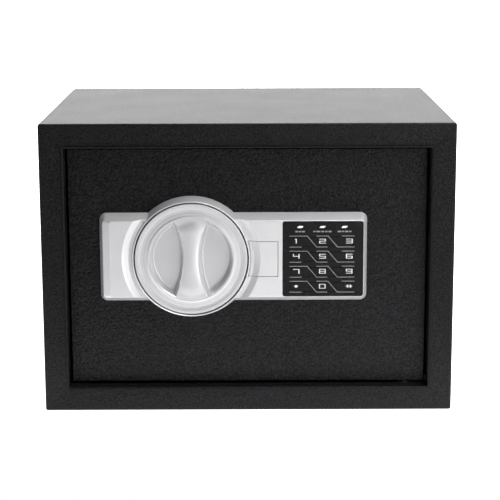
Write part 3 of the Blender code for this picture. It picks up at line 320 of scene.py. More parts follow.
def sized(tree, size):
    """Object coordinates measured in a grain size."""
    place = put(tree, "ShaderNodeTexCoord")
    turns = put(tree, "ShaderNodeMath", [(0, 1.0), (1, size)], operation="DIVIDE")
    grown = put(tree, "ShaderNodeVectorMath", [(0, place.outputs["Object"])], operation="SCALE")
    tree.links.new(turns.outputs[0], grown.inputs["Scale"])
    return grown.outputs[0]


def noise(tree, place, scale, detail=3.0, roughness=0.5):
    made = put(tree, "ShaderNodeTexNoise", [("Vector", place), ("Scale", scale)])
    made.inputs["Detail"].default_value = detail
    made.inputs["Roughness"].default_value = roughness
    return made.outputs["Fac"]


def ranged(tree, value, low, high, start=0.0, end=1.0):
    made = put(
        tree,
        "ShaderNodeMapRange",
        [("Value", value), ("From Min", start), ("From Max", end), ("To Min", low), ("To Max", high)],
    )
    return made.outputs[0]


def shaded(tree, colour, amount):
    """A colour made darker or lighter by a factor."""
    made = put(tree, "ShaderNodeVectorMath", [(0, colour)], operation="SCALE")
    tree.links.new(amount, made.inputs["Scale"])
    return made.outputs[0]


# Powder coat flows into low pebbles about 2 mm across with a finer orange peel on them, and its gloss is a
# little uneven from place to place.
powder_grain, given, result = group(
    "powder_grain",
    [("Colour", "colour", (0.01, 0.01, 0.01, 1)), ("Pebble", "value", 0.002), ("Roughness", "value", 0.45)],
    [("Colour", "colour"), ("Roughness", "value"), ("Height", "value")],
)
grain_place = sized(powder_grain, given.outputs["Pebble"])
wander = put(powder_grain, "ShaderNodeTexNoise", [("Vector", grain_place), ("Scale", 0.9), ("Detail", 1.0)])
moved = put(
    powder_grain,
    "ShaderNodeVectorMath",
    [(0, wander.outputs["Color"]), (1, (0.9, 0.9, 0.9)), (2, grain_place)],
    operation="MULTIPLY_ADD",
)
pebbles = put(powder_grain, "ShaderNodeTexVoronoi", [("Vector", moved.outputs[0]), ("Scale", 1.0)])
pebbles.feature = "SMOOTH_F1"
pebbles.inputs["Smoothness"].default_value = 0.45
peel = noise(powder_grain, grain_place, 2.6, 2.0)
low_pebble = ranged(powder_grain, pebbles.outputs["Distance"], 1.0, 0.0, 0.0, 0.9)
peeled = put(
    powder_grain, "ShaderNodeMath", [(0, peel), (1, 0.35), (2, low_pebble)], operation="MULTIPLY_ADD"
)
powder_grain.links.new(peeled.outputs[0], result.inputs["Height"])
patches = noise(powder_grain, grain_place, 0.035, 3.0)
patchy = ranged(powder_grain, patches, -0.012, 0.012, 0.3, 0.7)
gloss = put(powder_grain, "ShaderNodeMath", [(0, given.outputs["Roughness"]), (1, patchy)], operation="ADD")
powder_grain.links.new(gloss.outputs[0], result.inputs["Roughness"])
speckle = noise(powder_grain, grain_place, 1.5, 2.0, 0.6)
tint = ranged(powder_grain, speckle, -0.6, 4.2, 0.36, 0.66)
powder_grain.links.new(shaded(powder_grain, given.outputs["Colour"], tint), result.inputs["Colour"])


def finished(name, recipe, colour, depth, metallic=0.0, specular=0.5, **values):
    """A material that takes its colour, roughness and relief from a finish group, at its own values."""
    look, tree, shader = new_look(name)
    finish = put(tree, "ShaderNodeGroup", values.items(), node_tree=recipe)
    finish.inputs["Colour"].default_value = (*colour, 1)
    relief = put(tree, "ShaderNodeBump", [("Height", finish.outputs["Height"]), ("Distance", depth)])
    tree.links.new(finish.outputs["Colour"], shader.inputs["Base Color"])
    tree.links.new(relief.outputs[0], shader.inputs["Normal"])
    if "Roughness" in finish.outputs:
        tree.links.new(finish.outputs["Roughness"], shader.inputs["Roughness"])
    shader.inputs["Metallic"].default_value = metallic
    shader.inputs["Specular IOR Level"].default_value = specular
    return look, tree, shader, finish, relief


def powder_coat(name, pebble, depth):
    return finished(
        name, powder_grain, COAT_BLACK, depth, 0.0, COAT_SHINE, Pebble=pebble, Roughness=COAT_GLOSS
    )[0]


body_coat = powder_coat("black_powder_coat", 0.0018, 0.00030)
door_coat = powder_coat("black_powder_coat_door", 0.0020, 0.00050)


def body_section(inset, y, radius):
    return standing(
        outline(-half_width + inset, half_width - inset, inset, height - inset, radius), y
    )


def quarter_turn(radius, steps=6):
    for step in range(steps + 1):
        angle = math.pi / 2 * step / steps
        yield radius * (1 - math.cos(angle)), radius * (1 - math.sin(angle))


rings = [body_section(0, back - BURR, FOLD)]
for inset, deep in quarter_turn(FOLD):
    rings.append(body_section(inset, front + deep, max(FOLD - inset, SHARP)))
for deep, inset in reversed(list(quarter_turn(OPENING_FOLD))):
    rings.append(body_section(FRAME_WIDTH - inset, front + deep, SHARP))
for inset, y in (
    (FRAME_WIDTH, front + RETURN - BURR),
    (FRAME_WIDTH - BURR, front + RETURN),
    (FRAME_WIDTH - STEEL, front + RETURN),
    (FRAME_WIDTH - STEEL, front + STEEL),
    (STEEL, front + STEEL),
    (STEEL, back),
):
    rings.append(body_section(inset, y, SHARP))
rings.append(body_section(BURR, back, FOLD))
cabinet = object_of("folded_body", skinned(rings, joined=True))
punch = [(0, -STEEL), (ANCHOR_RADIUS, -STEEL), (ANCHOR_RADIUS, 2 * STEEL), (0, 2 * STEEL)]
worked(cabinet, [spun(punch, (x, 0, 0), "Z", 48) for x in (-ANCHOR_SPREAD, ANCHOR_SPREAD)])
fitted(cabinet, body_coat, "cabinet", ["cabinet_shell"])

# The back
# A flat plate of 2 mm steel set inside the end of the walls, with two anchor holes for a wall. It is held by
# short runs of weld along its edges inside the body, and coated with it.

STITCH = 0.018

dressed(body_coat, "back_panel")


def growth(name, inputs):
    """A geometry tree with named inputs, and its input and output nodes."""
    tree = bpy.data.node_groups.new(name, "GeometryNodeTree")
    kinds = {"length": "NodeSocketFloat", "number": "NodeSocketInt", "finish": "NodeSocketMaterial"}
    tree.interface.new_socket("Geometry", in_out="INPUT", socket_type="NodeSocketGeometry")
    for label, kind in inputs:
        tree.interface.new_socket(label, in_out="INPUT", socket_type=kinds[kind])
    tree.interface.new_socket("Geometry", in_out="OUTPUT", socket_type="NodeSocketGeometry")
    return tree, put(tree, "NodeGroupInput").outputs, put(tree, "NodeGroupOutput").inputs


def ended(tree, instances, finish, output):
    """The end of each geometry tree: real faces in one material."""
    real = put(tree, "GeometryNodeRealizeInstances", [("Geometry", instances)])
    last = put(tree, "GeometryNodeSetMaterial", [("Geometry", real.outputs[0]), ("Material", finish)])
    tree.links.new(last.outputs[0], output["Geometry"])


def grown(name, base, tree, **values):
    """Runs a geometry tree on a mesh, with its inputs set by name, and keeps what it makes."""
    made = object_of(name, base)
    step = made.modifiers.new("growth", "NODES")
    step.node_group = tree
    for item in tree.interface.items_tree:
        label = item.name.replace(" ", "_")
        if item.item_type == "SOCKET" and item.in_out == "INPUT" and label in values:
            step[item.identifier] = values[label]
    settle(made)
    return made


def runs(pairs):
    """A mesh of separate straight edges, for a tree that follows them."""
    mesh = bmesh.new()
    for start, end in pairs:
        mesh.edges.new((mesh.verts.new(start), mesh.verts.new(end)))
    return mesh


# A weld bead is a row of overlapping drops, each a little different in size.
weld_bead, given, result = growth(
    "weld_bead", [("Bead", "length"), ("Step", "length"), ("Seed", "number"), ("Finish", "finish")]
)
seam = put(weld_bead, "GeometryNodeMeshToCurve", [("Mesh", given["Geometry"])])
spaced = put(
    weld_bead,
    "GeometryNodeResampleCurve",
    [("Curve", seam.outputs[0]), ("Length", given["Step"])],
    mode="LENGTH",
)
drop = put(weld_bead, "GeometryNodeMeshIcoSphere", [("Radius", given["Bead"]), ("Subdivisions", 2)])
uneven = put(weld_bead, "FunctionNodeRandomValue", [(2, 0.82), (3, 1.12), ("Seed", given["Seed"])])
laid = put(
    weld_bead,
    "GeometryNodeInstanceOnPoints",
    [("Points", spaced.outputs[0]), ("Instance", drop.outputs[0]), ("Scale", uneven.outputs[1])],
)
ended(weld_bead, laid.outputs[0], given["Finish"], result)
wall_x = half_width - STEEL - 0.0003
seam_y = back - STEEL - 0.0004
stitches = []
for x in (-0.150, -0.090, -0.030, 0.030, 0.090, 0.150):
    for z in (STEEL + 0.0006, height - STEEL - 0.0006):
        stitches.append(((x - STITCH / 2, seam_y, z), (x + STITCH / 2, seam_y, z)))
for z in (0.040, 0.125, 0.210):
    for x in (-wall_x, wall_x):
        stitches.append(((x, seam_y, z - STITCH / 2), (x, seam_y, z + STITCH / 2)))
seam_welds = grown(
    "seam_welds", runs(stitches), weld_bead, Bead=0.0014, Step=0.0011, Seed=3, Finish=body_coat
)
fitted(seam_welds, body_coat, "cabinet", crease=60)

# The floor mat
# A sheet of grey needle felt, die cut to the floor with two round openings over the anchor holes. It is laid
# loose in the body, so its face ripples a little.

MAT_CUT = (0.338, 0.228)
MAT_CORNER = 0.0040
MAT_OPENING = 0.0075
MAT_RIPPLE = 0.0002
FELT_FIBRE = 0.0012

# Needled fibres: short pale and dark hairs in every direction over a soft matted ground.
felt_fibres, given, result = group(
    "felt_fibres",
    [("Colour", "colour", (0.04, 0.04, 0.05, 1)), ("Fibre", "value", 0.0012)],
    [("Colour", "colour"), ("Height", "value")],
)
felt_place = sized(felt_fibres, given.outputs["Fibre"])
tufts = noise(felt_fibres, felt_place, 1.0, 6.0, 0.75)
matted = noise(felt_fibres, felt_place, 0.05, 3.0)
strands = ranged(felt_fibres, tufts, 0.45, 1.7, 0.3, 0.7)
worn = ranged(felt_fibres, matted, 0.8, 1.2, 0.3, 0.7)
both = put(felt_fibres, "ShaderNodeMath", [(0, strands), (1, worn)], operation="MULTIPLY")
felt_fibres.links.new(shaded(felt_fibres, given.outputs["Colour"], both.outputs[0]), result.inputs["Colour"])
felt_fibres.links.new(tufts, result.inputs["Height"])

felt, _, shader, _, _ = finished(
    "felt", felt_fibres, (0.046, 0.047, 0.052), 0.0004, Fibre=FELT_FIBRE
)
shader.inputs["Roughness"].default_value = 0.96
shader.inputs["Sheen Weight"].default_value = 0.35
shader.inputs["Sheen Roughness"].default_value = 0.5

mat_low, mat_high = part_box("floor_mat")
mat_middle = (mat_low + mat_high) / 2


def laid_ring(inset, z, ripple=0.0, pieces=24):
    """A ring of the mat's outline, its long sides divided so that they can follow a ripple."""
    wide, deep = MAT_CUT[0] / 2 - inset, MAT_CUT[1] / 2 - inset
    corners = outline(-wide, wide, mat_middle.y - deep, mat_middle.y + deep, MAT_CORNER, 4)
    points = []
    for i, (x, y) in enumerate(corners):
        points.append((x, y))
        if i % 5 == 4:
            next_x, next_y = corners[(i + 1) % len(corners)]
            for step in range(1, pieces):
                share = step / pieces
                points.append((x + (next_x - x) * share, y + (next_y - y) * share))
    wave = [ripple * (1 + math.sin(61 * x + 23 * y) * math.cos(47 * y)) / 2 for x, y in points]
    return [Vector((x, y, z - drop)) for (x, y), drop in zip(points, wave)]


rings = []
for inset, z, ripple in (
    (0.0006, mat_low.z, 0.0),
    (0.0, mat_low.z + 0.0005, 0.0),
    (0.0, mat_high.z - 0.0010, 0.0),
    (0.0003, mat_high.z - 0.0003, 0.0),
    (0.0010, mat_high.z, 0.0),
):
    rings.append(laid_ring(inset, z, ripple))
for inset in (0.004, 0.010, 0.020, 0.034, 0.050, 0.066, 0.082, 0.096):
    rings.append(laid_ring(inset, mat_high.z, MAT_RIPPLE))
mat = object_of("felt_mat", skinned(rings))
under, over = mat_low.z - 0.001, mat_high.z + 0.001
die = [(0, under), (MAT_OPENING, under), (MAT_OPENING, over), (0, over)]
worked(mat, [spun(die, (x, 0, 0), "Z", 48) for x in (-ANCHOR_SPREAD, ANCHOR_SPREAD)])
fitted(mat, felt, "cabinet", ["floor_mat"])

# The door
# A plate of 3 mm steel with its edges eased, drilled for the knob's bush, the key lock and the keypad's
# wires. It is powder coated in a slightly coarser pebble than the body and hangs on the two hinge pins.

dressed(door_coat, "door_plate")

# The fascia
# A silver painted plastic moulding, held to the door from behind. It has sloping walls, a shallow band at the
# left end, a round boss for the knob with a hollow round it, a pocket for the keypad and an opening for the
# key cover.

FASCIA_HALF = 0.0384
FASCIA_CORNER = 0.0060
FACE_CORNER = 0.0024
SIDE_DRAFT = 0.0053
RIGHT_DRAFT = 0.0032
LEFT_DRAFT = 0.0039
BAND_WIDTH = 0.0050
BAND_DROP = 0.0017
FACE_EASE = 0.0011
FACE_THICKNESS = 0.0025
FASCIA_WALL = 0.0022
BOSS_LIP = 0.0009
BOSS_GAP = 0.0012
BOSS_DRAFT = 0.0030
MOAT_WIDTH = 0.0032
MOAT_SLOPE = 0.0049
MOAT_DEPTH = 0.0024
POCKET = 0.0011
LEDGE = 0.0030
PRESSED = 0.0003
PAST = 0.001
TURNED_STEPS = 192
SILVER_CREASE = 28

fascia_low, fascia_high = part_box("fascia")
knob_low, knob_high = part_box("knob")
pad_low, pad_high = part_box("keypad_panel")
cover_low, cover_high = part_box("key_cover")
lock_z = (knob_low.z + knob_high.z) / 2
knob_x = (knob_low.x + knob_high.x) / 2
knob_radius = (knob_high.x - knob_low.x) / 2
fascia_base = fascia_high.y
well_radius = knob_radius + BOSS_GAP
lip_radius = well_radius + BOSS_LIP
knob_axis = Vector((knob_x, 0, lock_z))


def eased(corners, steps=5):
    """A line through corners of (across, along, radius), each rounded to its radius."""
    points = [Vector(corner[:2]) for corner in corners]
    line = [points[0]]
    for before, here, after, (_, _, radius) in zip(points, points[1:], points[2:], corners[1:]):
        if not radius:
            line.append(here)
            continue
        back_way, on_way = (before - here).normalized(), (after - here).normalized()
        half_angle = back_way.angle(on_way) / 2
        reach = min(radius / math.tan(half_angle), (before - here).length / 2, (after - here).length / 2)
        for step in range(steps + 1):
            t = step / steps
            line.append(here + back_way * reach * (1 - t) ** 2 + on_way * reach * t**2)
    line.append(points[-1])
    return [tuple(point) for point in line]


def inset_at(line, level):
    """How far in a wall's line has come at a level."""
    for (x0, y0), (x1, y1) in zip(line, line[1:]):
        if y0 >= level >= y1 and y0 > y1:
            return x0 + (x1 - x0) * (y0 - level) / (y0 - y1)
    return line[-1][0]


rise = fascia_base - front


def drafted(draft):
    """The line of a wall from the door out to the face, with its top edge eased."""
    return eased([(0, fascia_base, 0), (draft, front, FACE_EASE), (draft + 0.004, front, 0)])


side_wall, right_wall = drafted(SIDE_DRAFT), drafted(RIGHT_DRAFT)
band_inset = LEFT_DRAFT * (rise - BAND_DROP) / rise
left_wall = eased(
    [
        (0, fascia_base, 0),
        (band_inset, front + BAND_DROP, 0.0008),
        (band_inset + BAND_WIDTH, front + 0.0004, 0.0010),
        (band_inset + BAND_WIDTH + 0.0004, front, 0.0004),
        (band_inset + BAND_WIDTH + 0.003, front, 0),
    ]
)
side_line = [point for point in side_wall if point[0] <= SIDE_DRAFT + 0.003]
right_line = [point for point in right_wall if point[0] <= RIGHT_DRAFT + 0.003]
left_line = [point for point in left_wall if point[0] <= band_inset + BAND_WIDTH + 0.002]
levels = sorted({round(y, 7) for _, y in side_line + right_line + left_line}, reverse=True)
rings = []
for y in levels:
    done = (fascia_base - y) / rise
    side = FASCIA_HALF - inset_at(side_line, y)
    rings.append(
        standing(
            outline(
                fascia_low.x + inset_at(left_line, y),
                fascia_high.x - inset_at(right_line, y),
                lock_z - side,
                lock_z + side,
                FASCIA_CORNER + (FACE_CORNER - FASCIA_CORNER) * done,
                10,
            ),
            y,
        )
    )
fascia = object_of("lock_fascia", skinned(rings))


def pocket(x0, x1, z0, z1, radius, floor, ease, lift=PAST):
    """A tool for a pocket or a window in a face, with its mouth eased."""
    steps = []
    for turn in range(5):
        angle = math.pi / 2 * turn / 4
        steps.append((front + ease * (1 - math.sin(angle)), ease * (1 - math.cos(angle))))
    tool = [(front - lift, ease), (front, ease), *reversed(steps[:-1]), (floor, 0)]
    return skinned(
        [standing(outline(x0 - g, x1 + g, z0 - g, z1 + g, radius + g, 6), y) for y, g in tool]
    )


half_pad = PRESSED / 2 + (pad_high.x - pad_low.x) / 2
pad_x = (pad_low.x + pad_high.x) / 2
half_tall = PRESSED / 2 + (pad_high.z - pad_low.z) / 2
ceiling = front + FACE_THICKNESS
behind = fascia_base + FASCIA_WALL
moat_inner = lip_radius + BOSS_DRAFT * MOAT_DEPTH / rise
moat_outer = moat_inner + MOAT_WIDTH
moat_line = eased(
    [
        (well_radius, front - 0.002, 0),
        (well_radius, front + MOAT_DEPTH, 0),
        (moat_outer, front + MOAT_DEPTH, 0.0030),
        (moat_outer + MOAT_SLOPE, front, 0.0060),
        (moat_outer + MOAT_SLOPE + 0.006, front - 0.0006, 0),
        (moat_outer + MOAT_SLOPE + 0.006, front - 0.002, 0),
    ],
    8,
)
boss_line = eased(
    [
        (0, front, 0),
        (lip_radius, front, 0.0005),
        (lip_radius + BOSS_DRAFT, fascia_base, 0),
        (0, fascia_base, 0),
    ]
)
well_line = eased(
    [
        (0, front - 0.001, 0),
        (well_radius + 0.0004, front - 0.001, 0),
        (well_radius + 0.0004, front, 0),
        (well_radius, front + 0.0004, 0),
        (well_radius, behind, 0),
        (0, behind, 0),
    ]
)
worked(
    fascia,
    [
        slab(
            pad_low.x + 0.001,
            pad_high.x - 0.001,
            ceiling,
            behind,
            pad_low.z + 0.001,
            pad_high.z - 0.001,
        ),
        pocket(
            pad_x - half_pad,
            pad_x + half_pad,
            lock_z - half_tall,
            lock_z + half_tall,
            0.0021,
            front + POCKET,
            0.0003,
        ),
        slab(
            pad_low.x + LEDGE,
            pad_high.x - LEDGE,
            front - PAST,
            behind,
            pad_low.z + LEDGE,
            pad_high.z - LEDGE,
        ),
        slab(
            fascia_low.x + LEFT_DRAFT + FASCIA_WALL,
            knob_x - lip_radius - BOSS_DRAFT - FASCIA_WALL,
            ceiling + BAND_DROP,
            behind,
            lock_z - FASCIA_HALF + SIDE_DRAFT + FASCIA_WALL,
            lock_z + FASCIA_HALF - SIDE_DRAFT - FASCIA_WALL,
        ),
        pocket(
            knob_x + well_radius - 0.003,
            cover_high.x + 0.0004,
            cover_low.z - 0.0004,
            cover_high.z + 0.0004,
            0.0006,
            behind,
            0.00025,
        ),
        spun(moat_line, knob_axis, steps=TURNED_STEPS),
    ],
)
worked(fascia, [spun(boss_line, knob_axis, steps=TURNED_STEPS)], "UNION")
worked(fascia, [spun(well_line, knob_axis, steps=TURNED_STEPS)])

# Silver paint: fine metal flakes under a satin lacquer, with a slight unevenness from the spray.
metal_flake, given, result = group(
    "metal_flake",
    [("Colour", "colour", (0.6, 0.6, 0.6, 1)), ("Flake", "value", 0.0002), ("Roughness", "value", 0.35)],
    [("Colour", "colour"), ("Roughness", "value"), ("Height", "value")],
)
flake_place = sized(metal_flake, given.outputs["Flake"])
flakes = put(metal_flake, "ShaderNodeTexVoronoi", [("Vector", flake_place), ("Scale", 1.0)])
glint = ranged(metal_flake, flakes.outputs["Color"], 0.94, 1.06)
mist = ranged(metal_flake, noise(metal_flake, flake_place, 0.012, 2.0), 0.98, 1.02, 0.3, 0.7)
mixed = put(metal_flake, "ShaderNodeMath", [(0, glint), (1, mist)], operation="MULTIPLY")
metal_flake.links.new(
    shaded(metal_flake, given.outputs["Colour"], mixed.outputs[0]), result.inputs["Colour"]
)
spray = ranged(metal_flake, noise(metal_flake, flake_place, 0.02, 2.0), -0.02, 0.02, 0.3, 0.7)
satin = put(metal_flake, "ShaderNodeMath", [(0, given.outputs["Roughness"]), (1, spray)], operation="ADD")
metal_flake.links.new(satin.outputs[0], result.inputs["Roughness"])
metal_flake.links.new(noise(metal_flake, flake_place, 0.7, 2.0), result.inputs["Height"])


def silver_paint(name, colour, roughness, metallic):
    return finished(
        name, metal_flake, colour, 0.000004, metallic, Flake=0.00022, Roughness=roughness
    )


face_silver = silver_paint("silver_paint", (0.60, 0.60, 0.612), 0.40, 0.50)[0]
fitted(fascia, face_silver, "door", ["fascia"], SILVER_CREASE)

# The knob
# One silver painted moulding: a satin rim turned in fine rings, a raised ring inside it, and a crowned grip
# left standing between two finger hollows. It is pressed onto the square end of its spindle.

RIM_EASE = 0.0006
RIDGE = 0.0362
RIDGE_HALF = 0.0012
SHOULDER = 0.0345
SHOULDER_WIDTH = 0.0110
RIDGE_RISE = 0.0002
DISH = 0.0005
GRIP_RISE = 0.0012
FINGER_RADIUS = 0.0350
FINGER_ARC = 0.0790
GRIP_HALF = 0.0068
FINGER_FLOOR = 0.0017
FINGER_DRAFT = 0.0024
CROWN = 0.0010
RING_PITCH = 0.0006
RINGED_FROM = 0.0382
RING_DEPTH = 0.00003
GRIP_RINGS = 24

knob_back = knob_high.y
crest = front - GRIP_RISE
knob_line = eased(
    [
        (0, knob_back, 0),
        (knob_radius, knob_back, 0.0002),
        (knob_radius, front, RIM_EASE),
        (knob_radius - 0.0025, front + 0.0001, 0.0010),
        ((knob_radius + RIDGE + RIDGE_HALF) / 2, front + DISH, 0.0300),
        (RIDGE + RIDGE_HALF + 0.0003, front + DISH * 0.4, 0.0005),
        (RIDGE + RIDGE_HALF - 0.0004, front - RIDGE_RISE, 0.0006),
        (RIDGE - RIDGE_HALF, front - RIDGE_RISE, 0.0010),
        (SHOULDER, front - RIDGE_RISE, 0),
    ],
    7,
)
for ring in range(GRIP_RINGS - 1, -1, -1):
    out = SHOULDER * ring / GRIP_RINGS
    share = min((SHOULDER - out) / SHOULDER_WIDTH, 1)
    knob_line.append((out, front - RIDGE_RISE - (GRIP_RISE - RIDGE_RISE) * share**2 * (3 - 2 * share)))
knob_mesh = spun(knob_line, knob_axis, steps=TURNED_STEPS)
for vert in knob_mesh.verts:
    across, up = vert.co.x - knob_x, vert.co.z - lock_z
    out = math.hypot(across, up)
    if vert.co.y < front - RIDGE_RISE - 0.00005 and out < FINGER_RADIUS:
        waist = FINGER_ARC + GRIP_HALF - math.sqrt(FINGER_ARC**2 - up**2)
        fall = min(abs(across) / waist, 1.3)
        vert.co.y += CROWN * fall**2 * (1 - (out / FINGER_RADIUS) ** 6)
knob = object_of("turn_knob", knob_mesh)


def finger_shape(side, inset, steps=24):
    """The lens between the ring of the knob and the hollow side of the grip."""
    ring = FINGER_RADIUS - inset
    arc = FINGER_ARC - inset
    centre = FINGER_ARC + GRIP_HALF
    cross = (centre**2 + ring**2 - arc**2) / (2 * centre)
    on_ring = math.acos(cross / ring)
    on_arc = math.acos((centre - cross) / arc)
    points = []
    for step in range(steps):
        angle = on_ring * (2 * step / steps - 1)
        points.append((knob_x + side * ring * math.cos(angle), lock_z + ring * math.sin(angle)))
    for step in range(steps):
        angle = on_arc * (1 - 2 * step / steps)
        points.append((knob_x + side * (centre - arc * math.cos(angle)), lock_z + arc * math.sin(angle)))
    return points


hollow_floor = knob_back - FINGER_FLOOR
slope = FINGER_DRAFT / (hollow_floor - front)
hollow_line = eased(
    [
        (-0.0012, crest - 0.0010, 0),
        (-0.0008, front - RIDGE_RISE - 0.0002, 0),
        (0.0002, front + 0.0008, 0.0010),
        (FINGER_DRAFT - slope * 0.0004, hollow_floor - 0.0004, 0.0009),
        (FINGER_DRAFT + 0.0009, hollow_floor, 0),
    ]
)
worked(
    knob,
    [skinned([standing(finger_shape(side, inset), y) for inset, y in hollow_line]) for side in (-1, 1)],
)

# Turned rings: fine marks round an axis along Y, strongest on the rim, as relief, and a painted sheen on the
# rim: its colour made lighter and darker ring by ring where the marks would catch the light.
turned_rings, given, result = group(
    "turned_rings",
    [("Centre", "vector", None), ("Pitch", "value", 0.0003), ("Inside", "value", 0.0385)],
    [("Height", "value"), ("Tint", "value")],
)
turned_place = put(turned_rings, "ShaderNodeTexCoord")
from_axis = put(
    turned_rings,
    "ShaderNodeVectorMath",
    [(0, turned_place.outputs["Object"]), (1, given.outputs["Centre"])],
    operation="SUBTRACT",
)
flat = put(
    turned_rings,
    "ShaderNodeVectorMath",
    [(0, from_axis.outputs[0]), (1, (1, 0, 1))],
    operation="MULTIPLY",
)
radius = put(turned_rings, "ShaderNodeVectorMath", [(0, flat.outputs[0])], operation="LENGTH")
turns = put(
    turned_rings,
    "ShaderNodeMath",
    [(0, radius.outputs["Value"]), (1, given.outputs["Pitch"])],
    operation="DIVIDE",
)
marks = put(
    turned_rings,
    "ShaderNodeTexNoise",
    noise_dimensions="1D",
    wires=[("W", turns.outputs[0]), ("Scale", 1.0), ("Detail", 3.0)],
)
inside = put(
    turned_rings,
    "ShaderNodeMath",
    [(0, radius.outputs["Value"]), (1, given.outputs["Inside"])],
    operation="GREATER_THAN",
)
on_rim = put(
    turned_rings,
    "ShaderNodeMath",
    [(0, marks.outputs["Fac"]), (1, inside.outputs[0])],
    operation="MULTIPLY",
)
turned_rings.links.new(on_rim.outputs[0], result.inputs["Height"])
# Painted sheen: each ring on the rim up to a fifth lighter or darker in colour, standing in for the light
# that the turned marks catch.
shine = ranged(turned_rings, marks.outputs["Fac"], -0.20, 0.20, 0.3, 0.7)
painted_sheen = put(
    turned_rings,
    "ShaderNodeMath",
    [(0, shine), (1, inside.outputs[0]), (2, 1.0)],
    operation="MULTIPLY_ADD",
)
turned_rings.links.new(painted_sheen.outputs[0], result.inputs["Tint"])

knob_silver, tree, shader, paint, relief = silver_paint(
    "silver_paint_knob", (0.57, 0.57, 0.582), 0.36, 0.60
)
lathe = put(
    tree, "ShaderNodeGroup", [("Pitch", RING_PITCH), ("Inside", RINGED_FROM)], node_tree=turned_rings
)
lathe.inputs["Centre"].default_value = knob_axis
lathe_relief = put(
    tree,
    "ShaderNodeBump",
    [("Height", lathe.outputs["Height"]), ("Distance", RING_DEPTH), ("Normal", relief.outputs[0])],
)
tree.links.new(lathe_relief.outputs[0], shader.inputs["Normal"])
# The knob's colour takes the painted ring sheen on its rim.
tree.links.new(shaded(tree, paint.outputs["Colour"], lathe.outputs["Tint"]), shader.inputs["Base Color"])
fitted(knob, knob_silver, "knob", ["knob"], SILVER_CREASE)

# The key cover
# A silver painted panel clipped into the fascia over the emergency lock. Its left end follows the boss, and a
# groove divides off the square that is pressed to free it.

COVER_SQUARE = 0.0187
GROOVE = 0.0006
GROOVE_DEPTH = 0.0007
CLEAR = 0.0004

cover_x0 = knob_x + well_radius - BOSS_GAP
cover_rings = []
for y, g in (
    (cover_high.y, 0),
    (front + 0.00025, 0),
    (front + 0.0001, 0.00005),
    (front + 0.00003, 0.00013),
    (front, 0.00028),
):
    shape = outline(cover_x0 + g, cover_high.x - g, cover_low.z + g, cover_high.z - g, 0.0006, 5)
    cover_rings.append(standing(shape, y))
cover = object_of("key_cover_panel", skinned(cover_rings))
boss_slope = BOSS_DRAFT / rise
boss_room = [
    (0, front - 0.002),
    (lip_radius + CLEAR - boss_slope * 0.002, front - 0.002),
    (lip_radius + CLEAR + BOSS_DRAFT, fascia_base),
    (0, fascia_base),
]
groove_x = cover_high.x - COVER_SQUARE
worked(
    cover,
    [
        spun(boss_room, knob_axis, steps=TURNED_STEPS),
        spun(moat_line, knob_axis, steps=TURNED_STEPS),
        slab(
            groove_x - GROOVE,
            groove_x,
            front - 0.002,
            front + GROOVE_DEPTH,
            cover_low.z - 0.01,
            cover_high.z + 0.01,
        ),
    ],
)
fitted(cover, face_silver, "key_cover", ["key_cover"], SILVER_CREASE)

# The keypad
# A gloss black polycarbonate panel, pressed into its pocket in the fascia. It is printed in pale grey, with
# divisions between the keys and a row of short marks under three indicator lamps.

PAD_CORNER = 0.0020
PAD_EASE = 0.00025
FIRST_ROW = 0.0128
ROW_PITCH = 0.0131
ROW_HEIGHT = 0.0095
ROW_LEFT = 0.0061
ROW_RIGHT = 0.0610
SLANTS = (0.0210, 0.0386)
SLANT_RUN = 0.0080
FIRST_SLANT_END = 0.0381
SECOND_SLANT_START = 0.0288
LAST_LINE_START = 0.0503
FOOT_LINE_END = 0.0163
KEY_MARGIN = 0.0009
SLANT_MARGIN = 0.0015
KEY_ROUND = 0.0005
PRINT = 0.00004
LINE = 0.00055
LAMPS = (0.0151, 0.0339, 0.0525)
LAMP_SIZE = (0.0048, 0.0018)
LAMP_DROP = 0.0050
LABEL_DROP = 0.0089
LABEL_HALF = 0.0006
LABEL_GAP = 0.0007
LABELS = (
    (0.0109, 0.0022, 0.0017, 0.0027),
    (0.0260, 0.0019, 0.0034, 0.0026, 0.0021, 0.0026),
    (0.0467, 0.0030, 0.0017, 0.0028, 0.0019),
)

pad_x0 = pad_low.x - PRESSED / 2
pad_top = pad_high.z + PRESSED / 2
pad_face = pad_low.y
pad_back = pad_high.y

# Handling leaves a faint film on gloss plastic, and the hard coat has a very low ripple.
handling, given, result = group(
    "handling",
    [("Colour", "colour", (0.01, 0.01, 0.01, 1)), ("Roughness", "value", 0.2)],
    [("Colour", "colour"), ("Roughness", "value"), ("Height", "value")],
)
handled = put(handling, "ShaderNodeTexCoord").outputs["Object"]
film = noise(handling, handled, 55.0, 4.0, 0.6)
rub = ranged(handling, film, -0.04, 0.07, 0.35, 0.7)
dulled = put(handling, "ShaderNodeMath", [(0, given.outputs["Roughness"]), (1, rub)], operation="ADD")
handling.links.new(dulled.outputs[0], result.inputs["Roughness"])
greyed = ranged(handling, film, 0.9, 1.2, 0.3, 0.7)
handling.links.new(shaded(handling, given.outputs["Colour"], greyed), result.inputs["Colour"])
handling.links.new(noise(handling, handled, 900.0, 2.0), result.inputs["Height"])


def plastic(name, colour, roughness, depth=0.000004, specular=0.5):
    return finished(name, handling, colour, depth, 0.0, specular, Roughness=roughness)[0]


gloss_black = plastic("black_gloss_plastic", (0.0045, 0.0045, 0.0052), 0.26, 0.000003, 0.16)
print_grey = plastic("printed_grey", (0.20, 0.20, 0.205), 0.45)
print_white = plastic("printed_white", (0.62, 0.62, 0.62), 0.45)
lamp_white = plastic("clear_lens", (0.86, 0.87, 0.86), 0.22)


def across_at(column, drop, side, grow):
    """How far a key's left or right edge is from the pad's left, at a drop below the row's top."""
    lean = SLANT_RUN * drop / ROW_HEIGHT
    if side == "left":
        if column == 0:
            return ROW_LEFT + KEY_MARGIN - grow
        return SLANTS[column - 1] + lean + SLANT_MARGIN - grow
    if column == 2:
        return ROW_RIGHT - KEY_MARGIN + grow
    return SLANTS[column] + lean - SLANT_MARGIN + grow


